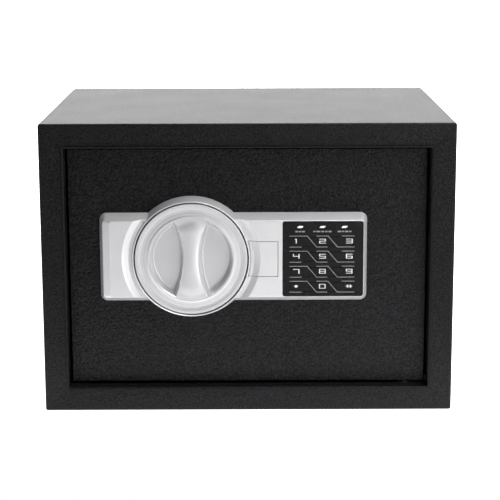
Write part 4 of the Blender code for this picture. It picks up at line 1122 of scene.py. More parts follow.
def rounded(points, radius, steps=4):
    """A closed outline with each of its corners rounded."""
    made = []
    count = len(points)
    for i in range(count):
        before, here, after = (Vector(points[(i + k) % count]) for k in (-1, 0, 1))
        back_way, on_way = (before - here).normalized(), (after - here).normalized()
        for step in range(steps + 1):
            t = step / steps
            made.append(tuple(here + back_way * radius * (1 - t) ** 2 + on_way * radius * t**2))
    return made


def key_shape(column, row, grow):
    top = KEY_MARGIN - grow
    bottom = ROW_HEIGHT - KEY_MARGIN + grow
    corners = ((bottom, "left"), (bottom, "right"), (top, "right"), (top, "left"))
    points = []
    for drop, side in corners:
        x = pad_x0 + across_at(column, drop, side, grow)
        points.append((x, pad_top - FIRST_ROW - ROW_PITCH * row - drop))
    return rounded(points, KEY_ROUND + grow / 2)


panel_rings = []
for y, g in (
    (pad_back, 0),
    (pad_face + PAD_EASE, 0),
    (pad_face + PAD_EASE * 0.3, PAD_EASE * 0.3),
    (pad_face, PAD_EASE),
):
    shape = outline(pad_low.x + g, pad_high.x - g, pad_low.z + g, pad_high.z - g, PAD_CORNER, 8)
    panel_rings.append(standing(shape, y))
panel = object_of("keypad_overlay", skinned(panel_rings))
labels = ("1", "2", "3", "4", "5", "6", "7", "8", "9", "star", "0", "hash")


def window(shape):
    return skinned([standing(shape, pad_face - PAST), standing(shape, pad_back + PAST)])


def lamp_shape(across, grow=0.0):
    """The outline of a lamp: a low six-sided lens with its ends cut on the slant."""
    x, z = pad_x0 + across, pad_top - LAMP_DROP
    half, tall = LAMP_SIZE[0] / 2 + grow, LAMP_SIZE[1] / 2 + grow
    cut = half * 0.45
    corners = ((-half, -tall), (cut, -tall), (half, 0), (half, tall), (-cut, tall), (-half, 0))
    return rounded([(x + side, z + up) for side, up in corners], 0.0003)


windows = [window(key_shape(number % 3, number // 3, PRESSED)) for number in range(len(labels))]
windows += [window(lamp_shape(across, PRESSED / 2)) for across in LAMPS]
worked(panel, windows)
fitted(panel, gloss_black, "door", ["keypad_panel"], 28)


def printed(rectangles, y, thickness):
    """Flat lettering: rectangles (left, right, low, high) run together into one raised layer."""
    xs = sorted({round(value, 7) for box in rectangles for value in box[:2]})
    zs = sorted({round(value, 7) for box in rectangles for value in box[2:]})
    filled = set()
    for i, (x0, x1) in enumerate(zip(xs, xs[1:])):
        for k, (z0, z1) in enumerate(zip(zs, zs[1:])):
            x, z = (x0 + x1) / 2, (z0 + z1) / 2
            if any(left < x < right and low < z < high for left, right, low, high in rectangles):
                filled.add((i, k))
    mesh = bmesh.new()
    verts = {}

    def corner(i, k, deep):
        key = (i, k, deep)
        if key not in verts:
            verts[key] = mesh.verts.new((xs[i], y - (0 if deep else thickness), zs[k]))
        return verts[key]

    for i, k in filled:
        square = [(i, k), (i + 1, k), (i + 1, k + 1), (i, k + 1)]
        neighbours = [(i, k - 1), (i + 1, k), (i, k + 1), (i - 1, k)]
        mesh.faces.new([corner(*place, False) for place in square])
        mesh.faces.new([corner(*place, True) for place in reversed(square)])
        for start, end, neighbour in zip(square, square[1:] + square[:1], neighbours):
            if neighbour not in filled:
                side = ((end, False), (start, False), (start, True), (end, True))
                mesh.faces.new([corner(*place, deep) for place, deep in side])
    bmesh.ops.recalc_face_normals(mesh, faces=mesh.faces)
    return mesh


def ribbon(mesh, route, width, y, thickness):
    """A printed line of even width along a route of points (across, up)."""
    points = [Vector(point) for point in route]
    edges = []
    for i, here in enumerate(points):
        ways = []
        if i:
            ways.append((here - points[i - 1]).normalized())
        if i < len(points) - 1:
            ways.append((points[i + 1] - here).normalized())
        mean = sum(ways, Vector((0, 0))).normalized()
        side = Vector((-mean.y, mean.x)) * width / 2 / max(mean.dot(ways[0]), 0.5)
        edges.append((here + side, here - side))
    rings = []
    for left, right in edges:
        section = ((left, y), (left, y - thickness), (right, y - thickness), (right, y))
        rings.append([mesh.verts.new((point.x, depth, point.y)) for point, depth in section])
    for here, there in zip(rings, rings[1:]):
        for i in range(4):
            j = (i + 1) % 4
            mesh.faces.new((here[i], here[j], there[j], there[i]))
    mesh.faces.new(rings[0])
    mesh.faces.new(rings[-1])


print_y = pad_face - 0.000005
lines = bmesh.new()
for row in range(4):
    top = pad_top - FIRST_ROW - ROW_PITCH * row
    low = top - ROW_HEIGHT
    first, second = SLANTS
    for route in (
        ((ROW_LEFT, top), (first, top), (first + SLANT_RUN, low), (FIRST_SLANT_END, low)),
        ((SECOND_SLANT_START, top), (second, top), (second + SLANT_RUN, low), (ROW_RIGHT, low)),
        ((LAST_LINE_START, top), (ROW_RIGHT, top)),
        ((ROW_LEFT, low), (FOOT_LINE_END, low)),
    ):
        ribbon(lines, [(pad_x0 + x, z) for x, z in route], LINE, print_y, PRINT)
bmesh.ops.recalc_face_normals(lines, faces=lines.faces)
fitted(object_of("keypad_divisions", lines), print_grey, "door")
marks_made = []
for start, *widths in LABELS:
    x = pad_x0 + start
    z = pad_top - LABEL_DROP
    for width in widths:
        marks_made.append((x, x + width, z - LABEL_HALF, z + LABEL_HALF))
        x += width + LABEL_GAP
lamp_marks = object_of("lamp_marks", printed(marks_made, print_y, PRINT))
fitted(lamp_marks, print_grey, "door")

# The lamps
# Three clear acrylic lenses moulded on one bar, which lies behind the panel. Each comes up through its window
# in the panel, with its edges eased.

bar_low, bar_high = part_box("lamp_bar")


def merged(whole, part):
    """Adds a mesh to another and frees it."""
    spare = bpy.data.meshes.new("spare")
    part.to_mesh(spare)
    part.free()
    whole.from_mesh(spare)
    bpy.data.meshes.remove(spare)


lamps = slab(bar_low.x, bar_high.x, pad_back + PRESSED, bar_high.y, bar_low.z, bar_high.z)
for across in LAMPS:
    rings = []
    for y, g in (
        (pad_back + 0.0008, 0),
        (pad_face + 0.0002, 0),
        (pad_face + 0.00006, 0.0001),
        (pad_face, 0.0003),
    ):
        rings.append(standing(lamp_shape(across, -g), y))
    merged(lamps, skinned(rings))
fitted(object_of("lamp_lenses", lamps), lamp_white, "door", ["lamp_bar"])

# The keys
# Twelve black plastic caps that come up through the panel, each with its figure printed on it in white. A
# flange behind the panel keeps each one in.

KEY_FLANGE = 0.0006
BAR = 0.0005
POST = 0.0009
FIGURE_WIDTH = 0.0056
FIGURE_HEIGHT = 0.0040
FIGURE_ACROSS = (0.0117, 0.0339, 0.0566)
FIGURE_DROP = 0.0044
BARS = {
    "0": "top left right bottom",
    "1": "flag stem",
    "2": "top upper_right middle lower_left bottom",
    "3": "top middle bottom right",
    "4": "upper_left middle right",
    "5": "top upper_left middle lower_right bottom",
    "6": "top left middle lower_right bottom",
    "7": "top right",
    "8": "top left middle right bottom",
    "9": "top upper_left middle right bottom",
    "star": "cross rise sink",
    "hash": "post_left post_right beam_high beam_low",
}


def figure_bars(names, x, z):
    """The rectangles of a figure centred on a point, from the names of its bars."""
    half, tall, bar, post = FIGURE_WIDTH / 2, FIGURE_HEIGHT / 2, BAR, POST
    mid = bar / 2
    places = {
        "top": (-half, half, tall - bar, tall),
        "middle": (-half, half, -mid, mid),
        "bottom": (-half, half, -tall, bar - tall),
        "left": (-half, post - half, -tall, tall),
        "right": (half - post, half, -tall, tall),
        "upper_left": (-half, post - half, -mid, tall),
        "lower_left": (-half, post - half, -tall, mid),
        "upper_right": (half - post, half, -mid, tall),
        "lower_right": (half - post, half, -tall, mid),
        "flag": (-1.5 * post, post / 2, tall - bar, tall),
        "stem": (-post / 2, post / 2, -tall, tall),
        "cross": (-1.7 * post, 1.7 * post, -post / 2, post / 2),
        "rise": (-post / 2, post / 2, -1.4 * post, 1.4 * post),
        "sink": (-post, post, -post, post),
        "post_left": (-1.7 * post, -0.9 * post, -1.5 * post, 1.5 * post),
        "post_right": (0.9 * post, 1.7 * post, -1.5 * post, 1.5 * post),
        "beam_high": (-3.0 * post, 3.0 * post, 0.35 * post, 0.8 * post),
        "beam_low": (-3.0 * post, 3.0 * post, -0.8 * post, -0.35 * post),
    }
    return [
        (x + left, x + right, z + low, z + high)
        for left, right, low, high in (places[name] for name in names.split())
    ]


for number, label in enumerate(labels):
    column, row = number % 3, number // 3
    key_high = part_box(f"key_{label}")[1]
    rings = [
        standing(key_shape(column, row, grow), y)
        for y, grow in (
            (key_high.y, KEY_FLANGE),
            (pad_back + PRESSED, KEY_FLANGE),
            (pad_back + PRESSED, 0),
            (pad_face + 0.0002, 0),
            (pad_face + 0.00006, -0.00008),
            (pad_face, -0.00022),
        )
    ]
    cap = object_of(f"cap_{label}", skinned(rings))
    fitted(cap, gloss_black, f"key_{label}", [f"key_{label}"])
    x = pad_x0 + FIGURE_ACROSS[column]
    z = pad_top - FIRST_ROW - ROW_PITCH * row - FIGURE_DROP
    figure = object_of(f"figure_{label}", printed(figure_bars(BARS[label], x, z), print_y, PRINT))
    fitted(figure, print_white, f"key_{label}")

# The hinges
# At the top and the bottom a bracket of 3 mm zinc plated angle is welded to the right hand wall. A headed pin
# through it carries a lug that is welded to the back of the door.

# Zinc plating: a thin passivated film that shades from bluish to straw in patches, dulled by handling.
plating, given, result = group(
    "plating",
    [("Colour", "colour", (0.5, 0.5, 0.5, 1)), ("Patch", "value", 0.01), ("Roughness", "value", 0.35)],
    [("Colour", "colour"), ("Roughness", "value"), ("Height", "value")],
)
plate_place = sized(plating, given.outputs["Patch"])
clouds = put(plating, "ShaderNodeTexNoise", [("Vector", plate_place), ("Scale", 1.0), ("Detail", 4.0)])
film_tint = put(
    plating,
    "ShaderNodeVectorMath",
    [(0, clouds.outputs["Color"]), (1, (0.16, 0.10, 0.20)), (2, (0.90, 0.93, 0.86))],
    operation="MULTIPLY_ADD",
)
filmed = put(
    plating,
    "ShaderNodeVectorMath",
    [(0, given.outputs["Colour"]), (1, film_tint.outputs[0])],
    operation="MULTIPLY",
)
plating.links.new(filmed.outputs[0], result.inputs["Colour"])
scuffs = ranged(plating, noise(plating, plate_place, 7.0, 5.0, 0.7), -0.07, 0.09, 0.3, 0.7)
scuffed = put(plating, "ShaderNodeMath", [(0, given.outputs["Roughness"]), (1, scuffs)], operation="ADD")
plating.links.new(scuffed.outputs[0], result.inputs["Roughness"])
plating.links.new(noise(plating, plate_place, 30.0, 3.0), result.inputs["Height"])


def plated(name, colour, roughness, patch=0.012, depth=0.000006):
    return finished(name, plating, colour, depth, 1.0, Patch=patch, Roughness=roughness)[0]


zinc = plated("zinc_plated_steel", (0.52, 0.52, 0.49), 0.36)
bright = plated("bright_steel", (0.64, 0.64, 0.65), 0.17, 0.02, 0.000002)
dressed(zinc, "upper_hinge_bracket", "lower_hinge_bracket", "upper_hinge_lug", "lower_hinge_lug")
for end in ("upper", "lower"):
    low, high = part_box(f"{end}_hinge_pin")
    middle = (low + high) / 2
    head = (high.x - low.x) / 2
    shank = head - 0.0015
    way = 1 if end == "upper" else -1
    tip = low.z if end == "upper" else high.z
    cap = high.z if end == "upper" else low.z
    line = eased(
        [
            (0, tip, 0),
            (shank - 0.0005, tip, 0),
            (shank, tip + way * 0.0006, 0),
            (shank, cap - way * 0.0016, 0),
            (head, cap - way * 0.0015, 0.0002),
            (head, cap, 0.0007),
            (0, cap, 0),
        ],
        4,
    )
    pin = object_of(f"{end}_pin", spun(line, (middle.x, middle.y, 0), "Z", 48))
    fitted(pin, bright, "cabinet", [f"{end}_hinge_pin"])


bracket_runs = []
bead_x = wall_x - 0.0008
for end in ("upper", "lower"):
    low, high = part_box(f"{end}_hinge_bracket")
    edge_z = high.z if end == "upper" else low.z
    bracket_runs.append(((bead_x, low.y + 0.002, edge_z), (bead_x, high.y - 0.002, edge_z)))
bracket_welds = grown(
    "bracket_welds", runs(bracket_runs), weld_bead, Bead=0.0012, Step=0.0010, Seed=7, Finish=body_coat
)
fitted(bracket_welds, body_coat, "cabinet", crease=60)

# The emergency lock
# A die cast zinc cylinder clamped through the door by a nut, with a brass plug in it. The key goes into the
# keyway, and a cam on the back of the plug lifts the solenoid's plunger clear.

cylinder_low, cylinder_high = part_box("lock_cylinder")
plug_low, plug_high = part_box("lock_plug")
lock_x = (plug_low.x + plug_high.x) / 2
plug_radius = (plug_high.x - plug_low.x) / 2
CYLINDER = 0.0085
NUT = 0.0120
NUT_FLAT = 0.0104
NUT_THICK = 0.0030
KEYWAY_HALF = 0.00075
KEYWAY_REACH = 0.0036
WARD = (0.0002, 0.0014, -0.0012, 0.0002)
SEAT_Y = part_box("inner_cover")[0].y
lock_axis = Vector((lock_x, 0, lock_z))
bore = plug_radius + CLEAR
cylinder_line = eased(
    [
        (bore, cylinder_low.y + 0.0003, 0),
        (bore + 0.0004, cylinder_low.y, 0),
        (CYLINDER, cylinder_low.y, 0.0006),
        (CYLINDER, SEAT_Y, 0),
        (NUT, SEAT_Y, 0.0002),
        (NUT, SEAT_Y + NUT_THICK, 0.0004),
        (CYLINDER, SEAT_Y + NUT_THICK, 0),
        (CYLINDER, cylinder_high.y, 0.0003),
        (bore, cylinder_high.y, 0),
    ]
)
cylinder = object_of("lock_barrel", spun(cylinder_line, lock_axis, steps=64))
flats = []
for turn in range(6):
    mesh = slab(-NUT, NUT, SEAT_Y - 0.0001, SEAT_Y + NUT_THICK + PAST, NUT_FLAT, NUT + 0.002)
    spin = Matrix.Translation(lock_axis) @ Matrix.Rotation(turn * math.pi / 3, 4, "Y")
    bmesh.ops.transform(mesh, matrix=spin, verts=mesh.verts)
    flats.append(mesh)
worked(cylinder, flats)
fitted(cylinder, zinc, "door", ["lock_cylinder"])
brass = plated("brass", (0.62, 0.44, 0.17), 0.28)
plug_line = eased(
    [
        (0, plug_low.y, 0),
        (plug_radius, plug_low.y, 0.0004),
        (plug_radius, plug_high.y, 0),
        (0, plug_high.y, 0),
    ]
)
plug = object_of("key_plug", spun(plug_line, lock_axis, steps=64))
key_deep = SEAT_Y - 0.0003
mouth = plug_low.y - PAST
ward_left, ward_right, ward_low, ward_high = WARD
keyway = slab(
    lock_x - KEYWAY_HALF,
    lock_x + KEYWAY_HALF,
    mouth,
    key_deep,
    lock_z - KEYWAY_REACH,
    lock_z + KEYWAY_REACH,
    0.0003,
)
ward = slab(
    lock_x + ward_left, lock_x + ward_right, mouth, key_deep, lock_z + ward_low, lock_z + ward_high, 0.0003
)
worked(plug, [keyway, ward])
fitted(plug, brass, "key_plug", ["lock_plug"])
dressed(zinc, "lock_cam")

# The bolt work
# The knob's spindle turns in a nylon bush and carries a crank. The crank's pin slides a zinc plated carriage
# on two shouldered studs, and the carriage carries two bolts of 16 mm bright steel through an angle guide.

BOLT_CHAMFER = 0.0010
CLIP_DEPTH = 0.0005
nylon = plastic("nylon", (0.70, 0.69, 0.65), 0.45, 0.00001)
dressed(
    zinc,
    "knob_spindle",
    "spindle_ring",
    "crank",
    "bolt_carriage",
    "bolt_guide",
    "guide_stud_1",
    "guide_stud_2",
)
dressed(nylon, "knob_bush")
for end in ("upper", "lower"):
    low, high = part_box(f"{end}_bolt")
    reach = (high.z - low.z) / 2
    line = eased(
        [
            (0, low.x, 0),
            (reach - BOLT_CHAMFER, low.x, 0.0003),
            (reach, low.x + BOLT_CHAMFER, 0.0006),
            (reach, high.x - 0.0045, 0.0002),
            (reach - CLIP_DEPTH, high.x - 0.0042, 0.0002),
            (reach - CLIP_DEPTH, high.x - 0.0034, 0.0002),
            (reach, high.x - 0.0031, 0.0002),
            (reach, high.x, 0),
            (0, high.x, 0),
        ],
        4,
    )
    middle = (low + high) / 2
    bolt = object_of(f"{end}_lock_bolt", spun(line, (0, middle.y, middle.z), "X", 64))
    fitted(bolt, bright, "bolt_work", [f"{end}_bolt"])

# The solenoid
# A coil on a steel frame. Its wire is wound on a bobbin under a wrap of tape, and its sprung plunger rises
# beside the carriage's tab and blocks it until the right code, or the key, draws it down.

WIRE = 0.00032
WIRE_PITCH = 1.9
COIL_BORE = 0.0034
FLANGE = 0.0012
WOUND_FROM = 0.0018

coil_low, coil_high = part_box("solenoid_coil")
coil_axis = (coil_low + coil_high) / 2
coil_radius = (coil_high.x - coil_low.x) / 2
coil_tape = plastic("coil_tape", (0.42, 0.10, 0.05), 0.42, 0.00001)

# A winding: hoops of wire stacked along an axis, each nearly touching the next.
winding, given, result = growth(
    "winding",
    [("Radius", "length"), ("Wire", "length"), ("Turns", "number"), ("Finish", "finish")],
)
pitch = put(winding, "ShaderNodeMath", [(0, given["Wire"]), (1, WIRE_PITCH)], operation="MULTIPLY")
upward = put(winding, "ShaderNodeCombineXYZ", [("Z", pitch.outputs[0])])
stack = put(winding, "GeometryNodeMeshLine", [("Count", given["Turns"]), ("Offset", upward.outputs[0])])
hoop = put(winding, "GeometryNodeCurvePrimitiveCircle", [("Resolution", 40), ("Radius", given["Radius"])])
strand = put(winding, "GeometryNodeCurvePrimitiveCircle", [("Resolution", 6), ("Radius", given["Wire"])])
ring = put(
    winding, "GeometryNodeCurveToMesh", [("Curve", hoop.outputs[0]), ("Profile Curve", strand.outputs[0])]
)
wound = put(
    winding, "GeometryNodeInstanceOnPoints", [("Points", stack.outputs[0]), ("Instance", ring.outputs[0])]
)
ended(winding, wound.outputs[0], given["Finish"], result)
turn_count = int((coil_high.z - coil_low.z - 0.003) / (WIRE * WIRE_PITCH))
windings = grown(
    "coil_windings",
    bmesh.new(),
    winding,
    Radius=coil_radius - WIRE,
    Wire=WIRE,
    Turns=turn_count,
    Finish=coil_tape,
)
wound_from = Vector((coil_axis.x, coil_axis.y, coil_low.z + WOUND_FROM))
windings.data.transform(Matrix.Translation(wound_from))
fitted(windings, coil_tape, "door", crease=60)
bobbin_line = [
    (COIL_BORE, coil_low.z),
    (coil_radius, coil_low.z),
    (coil_radius, coil_low.z + FLANGE),
    (coil_radius - 2 * WIRE, coil_low.z + FLANGE),
    (coil_radius - 2 * WIRE, coil_high.z - FLANGE),
    (coil_radius, coil_high.z - FLANGE),
    (coil_radius, coil_high.z),
    (COIL_BORE, coil_high.z),
]
bobbin = object_of("coil_bobbin", spun(bobbin_line, (coil_axis.x, coil_axis.y, 0), "Z", 48))
fitted(bobbin, plastic("bobbin_white", (0.6, 0.6, 0.57), 0.4), "door", ["solenoid_coil"])
dressed(zinc, "solenoid_frame", "solenoid_plunger")

# The inner cover
# A deep tray moulded in black ABS over the works, with a sunk panel in its face, a window for the battery
# cover, a hole for the reset button, and four ears that are screwed to the door.

COVER_BELOW = 0.0720
COVER_ABOVE = 0.0700
COVER_WALL = 0.0015
COVER_EASE = 0.0020
EAR = 0.0120
EAR_ALONG = (0.022, 0.222)
SCREW = 0.0015
RESET = 0.0035
PANEL_MARGIN = (0.010, 0.012)
PANEL_SHORT = 0.014
PANEL_SINK = 0.0006
RIB_COUNT = 9
RIB_PITCH = 0.0125
RIB_RADIUS = 0.0009

tray_low, tray_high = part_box("inner_cover")
battery_low, battery_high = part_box("battery_cover")
reset_low, reset_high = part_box("reset_button")
reset_x, reset_z = (reset_low.x + reset_high.x) / 2, (reset_low.z + reset_high.z) / 2
tray_bottom, tray_top = lock_z - COVER_BELOW, lock_z + COVER_ABOVE
abs_black = plastic("black_plastic", (0.016, 0.016, 0.017), 0.5, 0.00003)
rings = [standing(outline(tray_low.x, tray_high.x, tray_bottom, tray_top, 0.002, 6), tray_low.y)]
for inset, rest in quarter_turn(COVER_EASE):
    left, right = tray_low.x + inset, tray_high.x - inset
    shape = outline(left, right, tray_bottom + inset, tray_top - inset, 0.0022, 6)
    rings.append(standing(shape, tray_high.y - rest))
tray = object_of("works_cover", skinned(rings))
ears = []
for along in EAR_ALONG:
    for z in (tray_bottom - EAR / 2, tray_top + EAR / 2):
        ears.append((tray_low.x + along, z))
ear_top = tray_low.y + COVER_WALL
half_ear, ear_reach = EAR / 2, EAR * 0.75
tabs = [
    slab(x - half_ear, x + half_ear, tray_low.y, ear_top, z - ear_reach, z + ear_reach, 0.002)
    for x, z in ears
]
worked(tray, tabs, "UNION")
inside = tray_high.y - COVER_WALL
panel_x0, panel_x1 = tray_low.x + PANEL_MARGIN[0], battery_low.x - PANEL_MARGIN[1]
above = tray_high.y + PAST
reset_hole = RESET + CLEAR
opening = [(0, inside - PAST), (reset_hole, inside - PAST), (reset_hole, above), (0, above)]
cuts = [
    slab(
        tray_low.x - COVER_WALL,
        tray_high.x - COVER_WALL,
        tray_low.y - COVER_WALL,
        inside,
        tray_bottom + COVER_WALL,
        tray_top - COVER_WALL,
    ),
    slab(
        panel_x0,
        panel_x1,
        tray_high.y - PANEL_SINK,
        above,
        tray_bottom + PANEL_SHORT,
        tray_top - PANEL_SHORT,
        0.004,
    ),
    slab(
        battery_low.x - CLEAR,
        battery_high.x + CLEAR,
        inside - PAST,
        above,
        battery_low.z - CLEAR,
        battery_high.z + CLEAR,
        0.0044,
    ),
    spun(opening, (reset_x, 0, reset_z), steps=48),
]
screw_hole = SCREW + CLEAR
drill_from, drill_to = tray_low.y - PAST, tray_low.y + 0.003
drill = [(0, drill_from), (screw_hole, drill_from), (screw_hole, drill_to), (0, drill_to)]
cuts += [spun(drill, (x, 0, z), steps=24) for x, z in ears]
worked(tray, cuts)
fitted(tray, abs_black, "door", ["inner_cover"])

# Half round ribs in a row, moulded on a face: stiffeners on the sunk panel, finger grips on the battery lid.
moulded_ribs, given, result = growth(
    "moulded_ribs",
    [
        ("Count", "number"),
        ("Pitch", "length"),
        ("Length", "length"),
        ("Radius", "length"),
        ("Finish", "finish"),
    ],
)
step_up = put(moulded_ribs, "ShaderNodeCombineXYZ", [("Z", given["Pitch"])])
rows = put(moulded_ribs, "GeometryNodeMeshLine", [("Count", given["Count"]), ("Offset", step_up.outputs[0])])
span = put(
    moulded_ribs,
    "GeometryNodeMeshCylinder",
    [("Vertices", 16), ("Radius", given["Radius"]), ("Depth", given["Length"])],
)
lying = put(
    moulded_ribs,
    "GeometryNodeInstanceOnPoints",
    [("Points", rows.outputs[0]), ("Instance", span.outputs[0]), ("Rotation", (0, math.pi / 2, 0))],
)
ended(moulded_ribs, lying.outputs[0], given["Finish"], result)
stiffeners = grown(
    "cover_ribs",
    bmesh.new(),
    moulded_ribs,
    Count=RIB_COUNT,
    Pitch=RIB_PITCH,
    Length=panel_x1 - panel_x0 - 0.012,
    Radius=RIB_RADIUS,
    Finish=abs_black,
)
lowest_rib = (tray_bottom + tray_top) / 2 - RIB_PITCH * (RIB_COUNT - 1) / 2
ribs_at = Vector(((panel_x0 + panel_x1) / 2, tray_high.y - 0.0008, lowest_rib))
stiffeners.data.transform(Matrix.Translation(ribs_at))
fitted(stiffeners, abs_black, "door")

# The cover's screws
# Four M3 pan head screws of zinc plated steel with a cross recess. They go through the tray's ears into the
# back of the door.

SCREW_HEAD = 0.0034
SCREW_RISE = 0.0016
SCREW_REACH = 0.0036
CROSS_WIDE = 1.15
CROSS_THIN = 0.24
CROSS_LIFT = 0.55

screw_head, given, result = growth(
    "screw_head",
    [("Head", "length"), ("Shank", "length"), ("Rise", "length"), ("Reach", "length"), ("Finish", "finish")],
)
pan = put(
    screw_head,
    "GeometryNodeMeshCylinder",
    [("Vertices", 32), ("Radius", given["Head"]), ("Depth", given["Rise"])],
)
stem = put(
    screw_head,
    "GeometryNodeMeshCylinder",
    [("Vertices", 16), ("Radius", given["Shank"]), ("Depth", given["Reach"])],
)
half_reach = put(screw_head, "ShaderNodeMath", [(0, given["Reach"]), (1, -0.5)], operation="MULTIPLY")
down = put(screw_head, "ShaderNodeCombineXYZ", [("Z", half_reach.outputs[0])])
lowered = put(
    screw_head, "GeometryNodeTransform", [("Geometry", stem.outputs[0]), ("Translation", down.outputs[0])]
)
wide = put(screw_head, "ShaderNodeMath", [(0, given["Head"]), (1, CROSS_WIDE)], operation="MULTIPLY")
thin = put(screw_head, "ShaderNodeMath", [(0, given["Head"]), (1, CROSS_THIN)], operation="MULTIPLY")
rise_up = put(screw_head, "ShaderNodeMath", [(0, given["Rise"]), (1, CROSS_LIFT)], operation="MULTIPLY")
lift = put(screw_head, "ShaderNodeCombineXYZ", [("Z", rise_up.outputs[0])])
bars = []
for first, second in (("X", "Y"), ("Y", "X")):
    size = put(
        screw_head,
        "ShaderNodeCombineXYZ",
        [(first, wide.outputs[0]), (second, thin.outputs[0]), ("Z", given["Rise"])],
    )
    bar = put(screw_head, "GeometryNodeMeshCube", [("Size", size.outputs[0])])
    bars.append(
        put(
            screw_head,
            "GeometryNodeTransform",
            [("Geometry", bar.outputs[0]), ("Translation", lift.outputs[0])],
        )
    )
recessed = put(screw_head, "GeometryNodeMeshBoolean", [("Mesh 1", pan.outputs[0])], operation="DIFFERENCE")
for bar in bars:
    screw_head.links.new(bar.outputs[0], recessed.inputs["Mesh 2"])
whole = put(screw_head, "GeometryNodeJoinGeometry")
screw_head.links.new(recessed.outputs[0], whole.inputs[0])
screw_head.links.new(lowered.outputs[0], whole.inputs[0])
driven = put(
    screw_head,
    "GeometryNodeInstanceOnPoints",
    [
        ("Points", given["Geometry"]),
        ("Instance", whole.outputs[0]),
        ("Rotation", (-math.pi / 2, 0, math.pi / 5)),
    ],
)
ended(screw_head, driven.outputs[0], given["Finish"], result)
heads = bmesh.new()
head_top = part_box("cover_screw_1")[1].y
for x, z in ears:
    heads.verts.new((x, head_top - SCREW_RISE / 2, z))
screws = grown(
    "works_cover_screws",
    heads,
    screw_head,
    Head=SCREW_HEAD,
    Shank=SCREW,
    Rise=SCREW_RISE,
    Reach=SCREW_REACH,
    Finish=zinc,
)
fitted(screws, zinc, "door", [f"cover_screw_{number}" for number in range(1, 5)])

# The battery cover
# A flush lid moulded in the same black ABS, which lifts out of its window in the inner cover. It has a sunk
# finger catch and a row of ribs to push on.

CATCH_HALF = 0.009
CATCH_SPAN = (0.0085, 0.0025)
CATCH_SINK = 0.0011
GRIP_COUNT = 5
GRIP_PITCH = 0.0021
GRIP_LENGTH = 0.022
GRIP_DROP = 0.021

rings = []
for y, g in (
    (battery_low.y, 0.0016),
    (inside, 0.0016),
    (inside, 0),
    (battery_high.y - 0.0004, 0),
    (battery_high.y - 0.0001, 0.0001),
    (battery_high.y, 0.0004),
):
    left, right = battery_low.x + g, battery_high.x - g
    shape = outline(left, right, battery_low.z + g, battery_high.z - g, 0.004 - g / 2, 6)
    rings.append(standing(shape, y))
lid = object_of("battery_lid", skinned(rings))
lid_x, lid_top, lid_face = (battery_low.x + battery_high.x) / 2, battery_high.z, battery_high.y
catch = slab(
    lid_x - CATCH_HALF,
    lid_x + CATCH_HALF,
    lid_face - CATCH_SINK,
    lid_face + PAST,
    lid_top - CATCH_SPAN[0],
    lid_top - CATCH_SPAN[1],
    0.0025,
)
worked(lid, [catch])
fitted(lid, abs_black, "battery_cover", ["battery_cover"])
grips = grown(
    "battery_lid_ribs",
    bmesh.new(),
    moulded_ribs,
    Count=GRIP_COUNT,
    Pitch=GRIP_PITCH,
    Length=GRIP_LENGTH,
    Radius=0.0005,
    Finish=abs_black,
)
grips.data.transform(Matrix.Translation((lid_x, lid_face - 0.0001, lid_top - GRIP_DROP)))
fitted(grips, abs_black, "battery_cover")

# The reset button
# A small red plastic button, pressed through the inner cover to set a new code. A flange behind the cover
# keeps it in.

BUTTON_FLANGE = 0.005

red_plastic = plastic("red_plastic", (0.45, 0.016, 0.012), 0.3)
reset_line = eased(
    [
        (0, reset_low.y, 0),
        (RESET - CLEAR, reset_low.y, 0.0003),
        (RESET - CLEAR, inside - 0.0019, 0),
        (BUTTON_FLANGE, inside - 0.0019, 0),
        (BUTTON_FLANGE, inside - 0.0004, 0),
        (RESET, inside - 0.0004, 0),
        (RESET, reset_high.y, 0.0009),
        (0, reset_high.y, 0),
    ]
)
button = object_of("reset_cap", spun(reset_line, (reset_x, 0, reset_z), steps=48))
fitted(button, red_plastic, "reset_button", ["reset_button"])

# The cells and their holder
# Four AA cells lie one above the other in a black moulded tray, each the other way round from the last. A
# cell is a bright steel can in a dark printed sleeve that is shrunk over its ends.

CELL_COUNT = 4

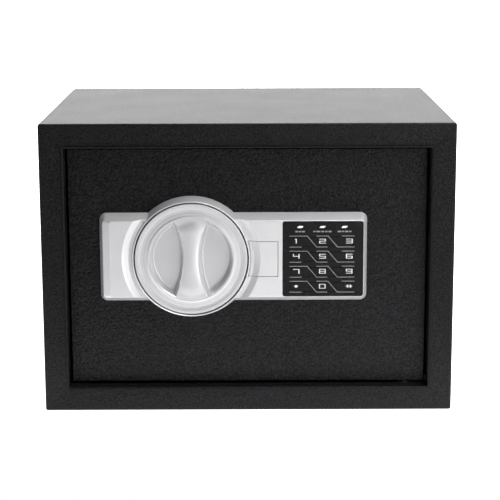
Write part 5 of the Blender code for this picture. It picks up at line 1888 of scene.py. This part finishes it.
sleeve = plastic("battery_sleeve", (0.045, 0.06, 0.11), 0.3)
dressed(abs_black, "battery_holder")
cans = bmesh.new()
sleeves = bmesh.new()
for number in range(1, CELL_COUNT + 1):
    low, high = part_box(f"cell_{number}")
    centre = (0, (low.y + high.y) / 2, (low.z + high.z) / 2)
    size = (high.z - low.z) / 2
    foot, nub = (low.x, high.x) if number % 2 == 0 else (high.x, low.x)
    way = math.copysign(1, nub - foot)
    can = eased(
        [
            (0, foot, 0),
            (size * 0.9, foot, 0.0003),
            (size * 0.93, foot + way * 0.0006, 0),
            (size * 0.93, nub - way * 0.0019, 0.0005),
            (0.0030, nub - way * 0.0012, 0.0003),
            (0.0027, nub, 0.0005),
            (0, nub, 0),
        ],
        4,
    )
    merged(cans, spun(can, centre, "X", 48))
    wrap = eased(
        [
            (size * 0.92, foot + way * 0.0003, 0),
            (size, foot + way * 0.0006, 0.0003),
            (size, nub - way * 0.0022, 0.0004),
            (size * 0.88, nub - way * 0.0016, 0),
            (size * 0.88, nub - way * 0.0026, 0),
            (size * 0.92, foot + way * 0.0012, 0),
        ],
        4,
    )
    merged(sleeves, spun(wrap, centre, "X", 48))
fitted(object_of("cell_cans", cans), bright, "door")
cell_nodes = [f"cell_{number}" for number in range(1, CELL_COUNT + 1)]
fitted(object_of("cell_sleeves", sleeves), sleeve, "door", cell_nodes)

# The boards and their leads
# Two glass fibre boards, one behind the keys and one on posts behind the door, joined by a bundle of wires.
# A pair of thinner leads runs on to the solenoid.

TRACK_PITCH = 0.0016

board_tracks, given, result = group(
    "board_tracks",
    [("Colour", "colour", (0.02, 0.14, 0.05, 1)), ("Track", "value", 0.0016), ("Roughness", "value", 0.4)],
    [("Colour", "colour"), ("Roughness", "value"), ("Height", "value")],
)
track_place = sized(board_tracks, given.outputs["Track"])
maze = put(board_tracks, "ShaderNodeTexVoronoi", [("Vector", track_place), ("Scale", 0.7)])
maze.distance = "CHEBYCHEV"
maze.feature = "F2"
tracks = ranged(board_tracks, maze.outputs["Distance"], 0.75, 1.7, 0.55, 0.62)
board_tracks.links.new(shaded(board_tracks, given.outputs["Colour"], tracks), result.inputs["Colour"])
board_tracks.links.new(tracks, result.inputs["Height"])
tracked = ranged(board_tracks, tracks, 0.05, -0.05, 0.75, 1.7)
varnish = put(
    board_tracks, "ShaderNodeMath", [(0, given.outputs["Roughness"]), (1, tracked)], operation="ADD"
)
board_tracks.links.new(varnish.outputs[0], result.inputs["Roughness"])
board_green = finished(
    "circuit_board", board_tracks, (0.016, 0.12, 0.045), 0.00003, Track=TRACK_PITCH, Roughness=0.35
)[0]
dressed(board_green, "control_board", "keypad_board")
insulation = plastic("wire_insulation", (0.012, 0.012, 0.014), 0.42, 0.00001)
dressed(insulation, "keypad_wires", "solenoid_wires")
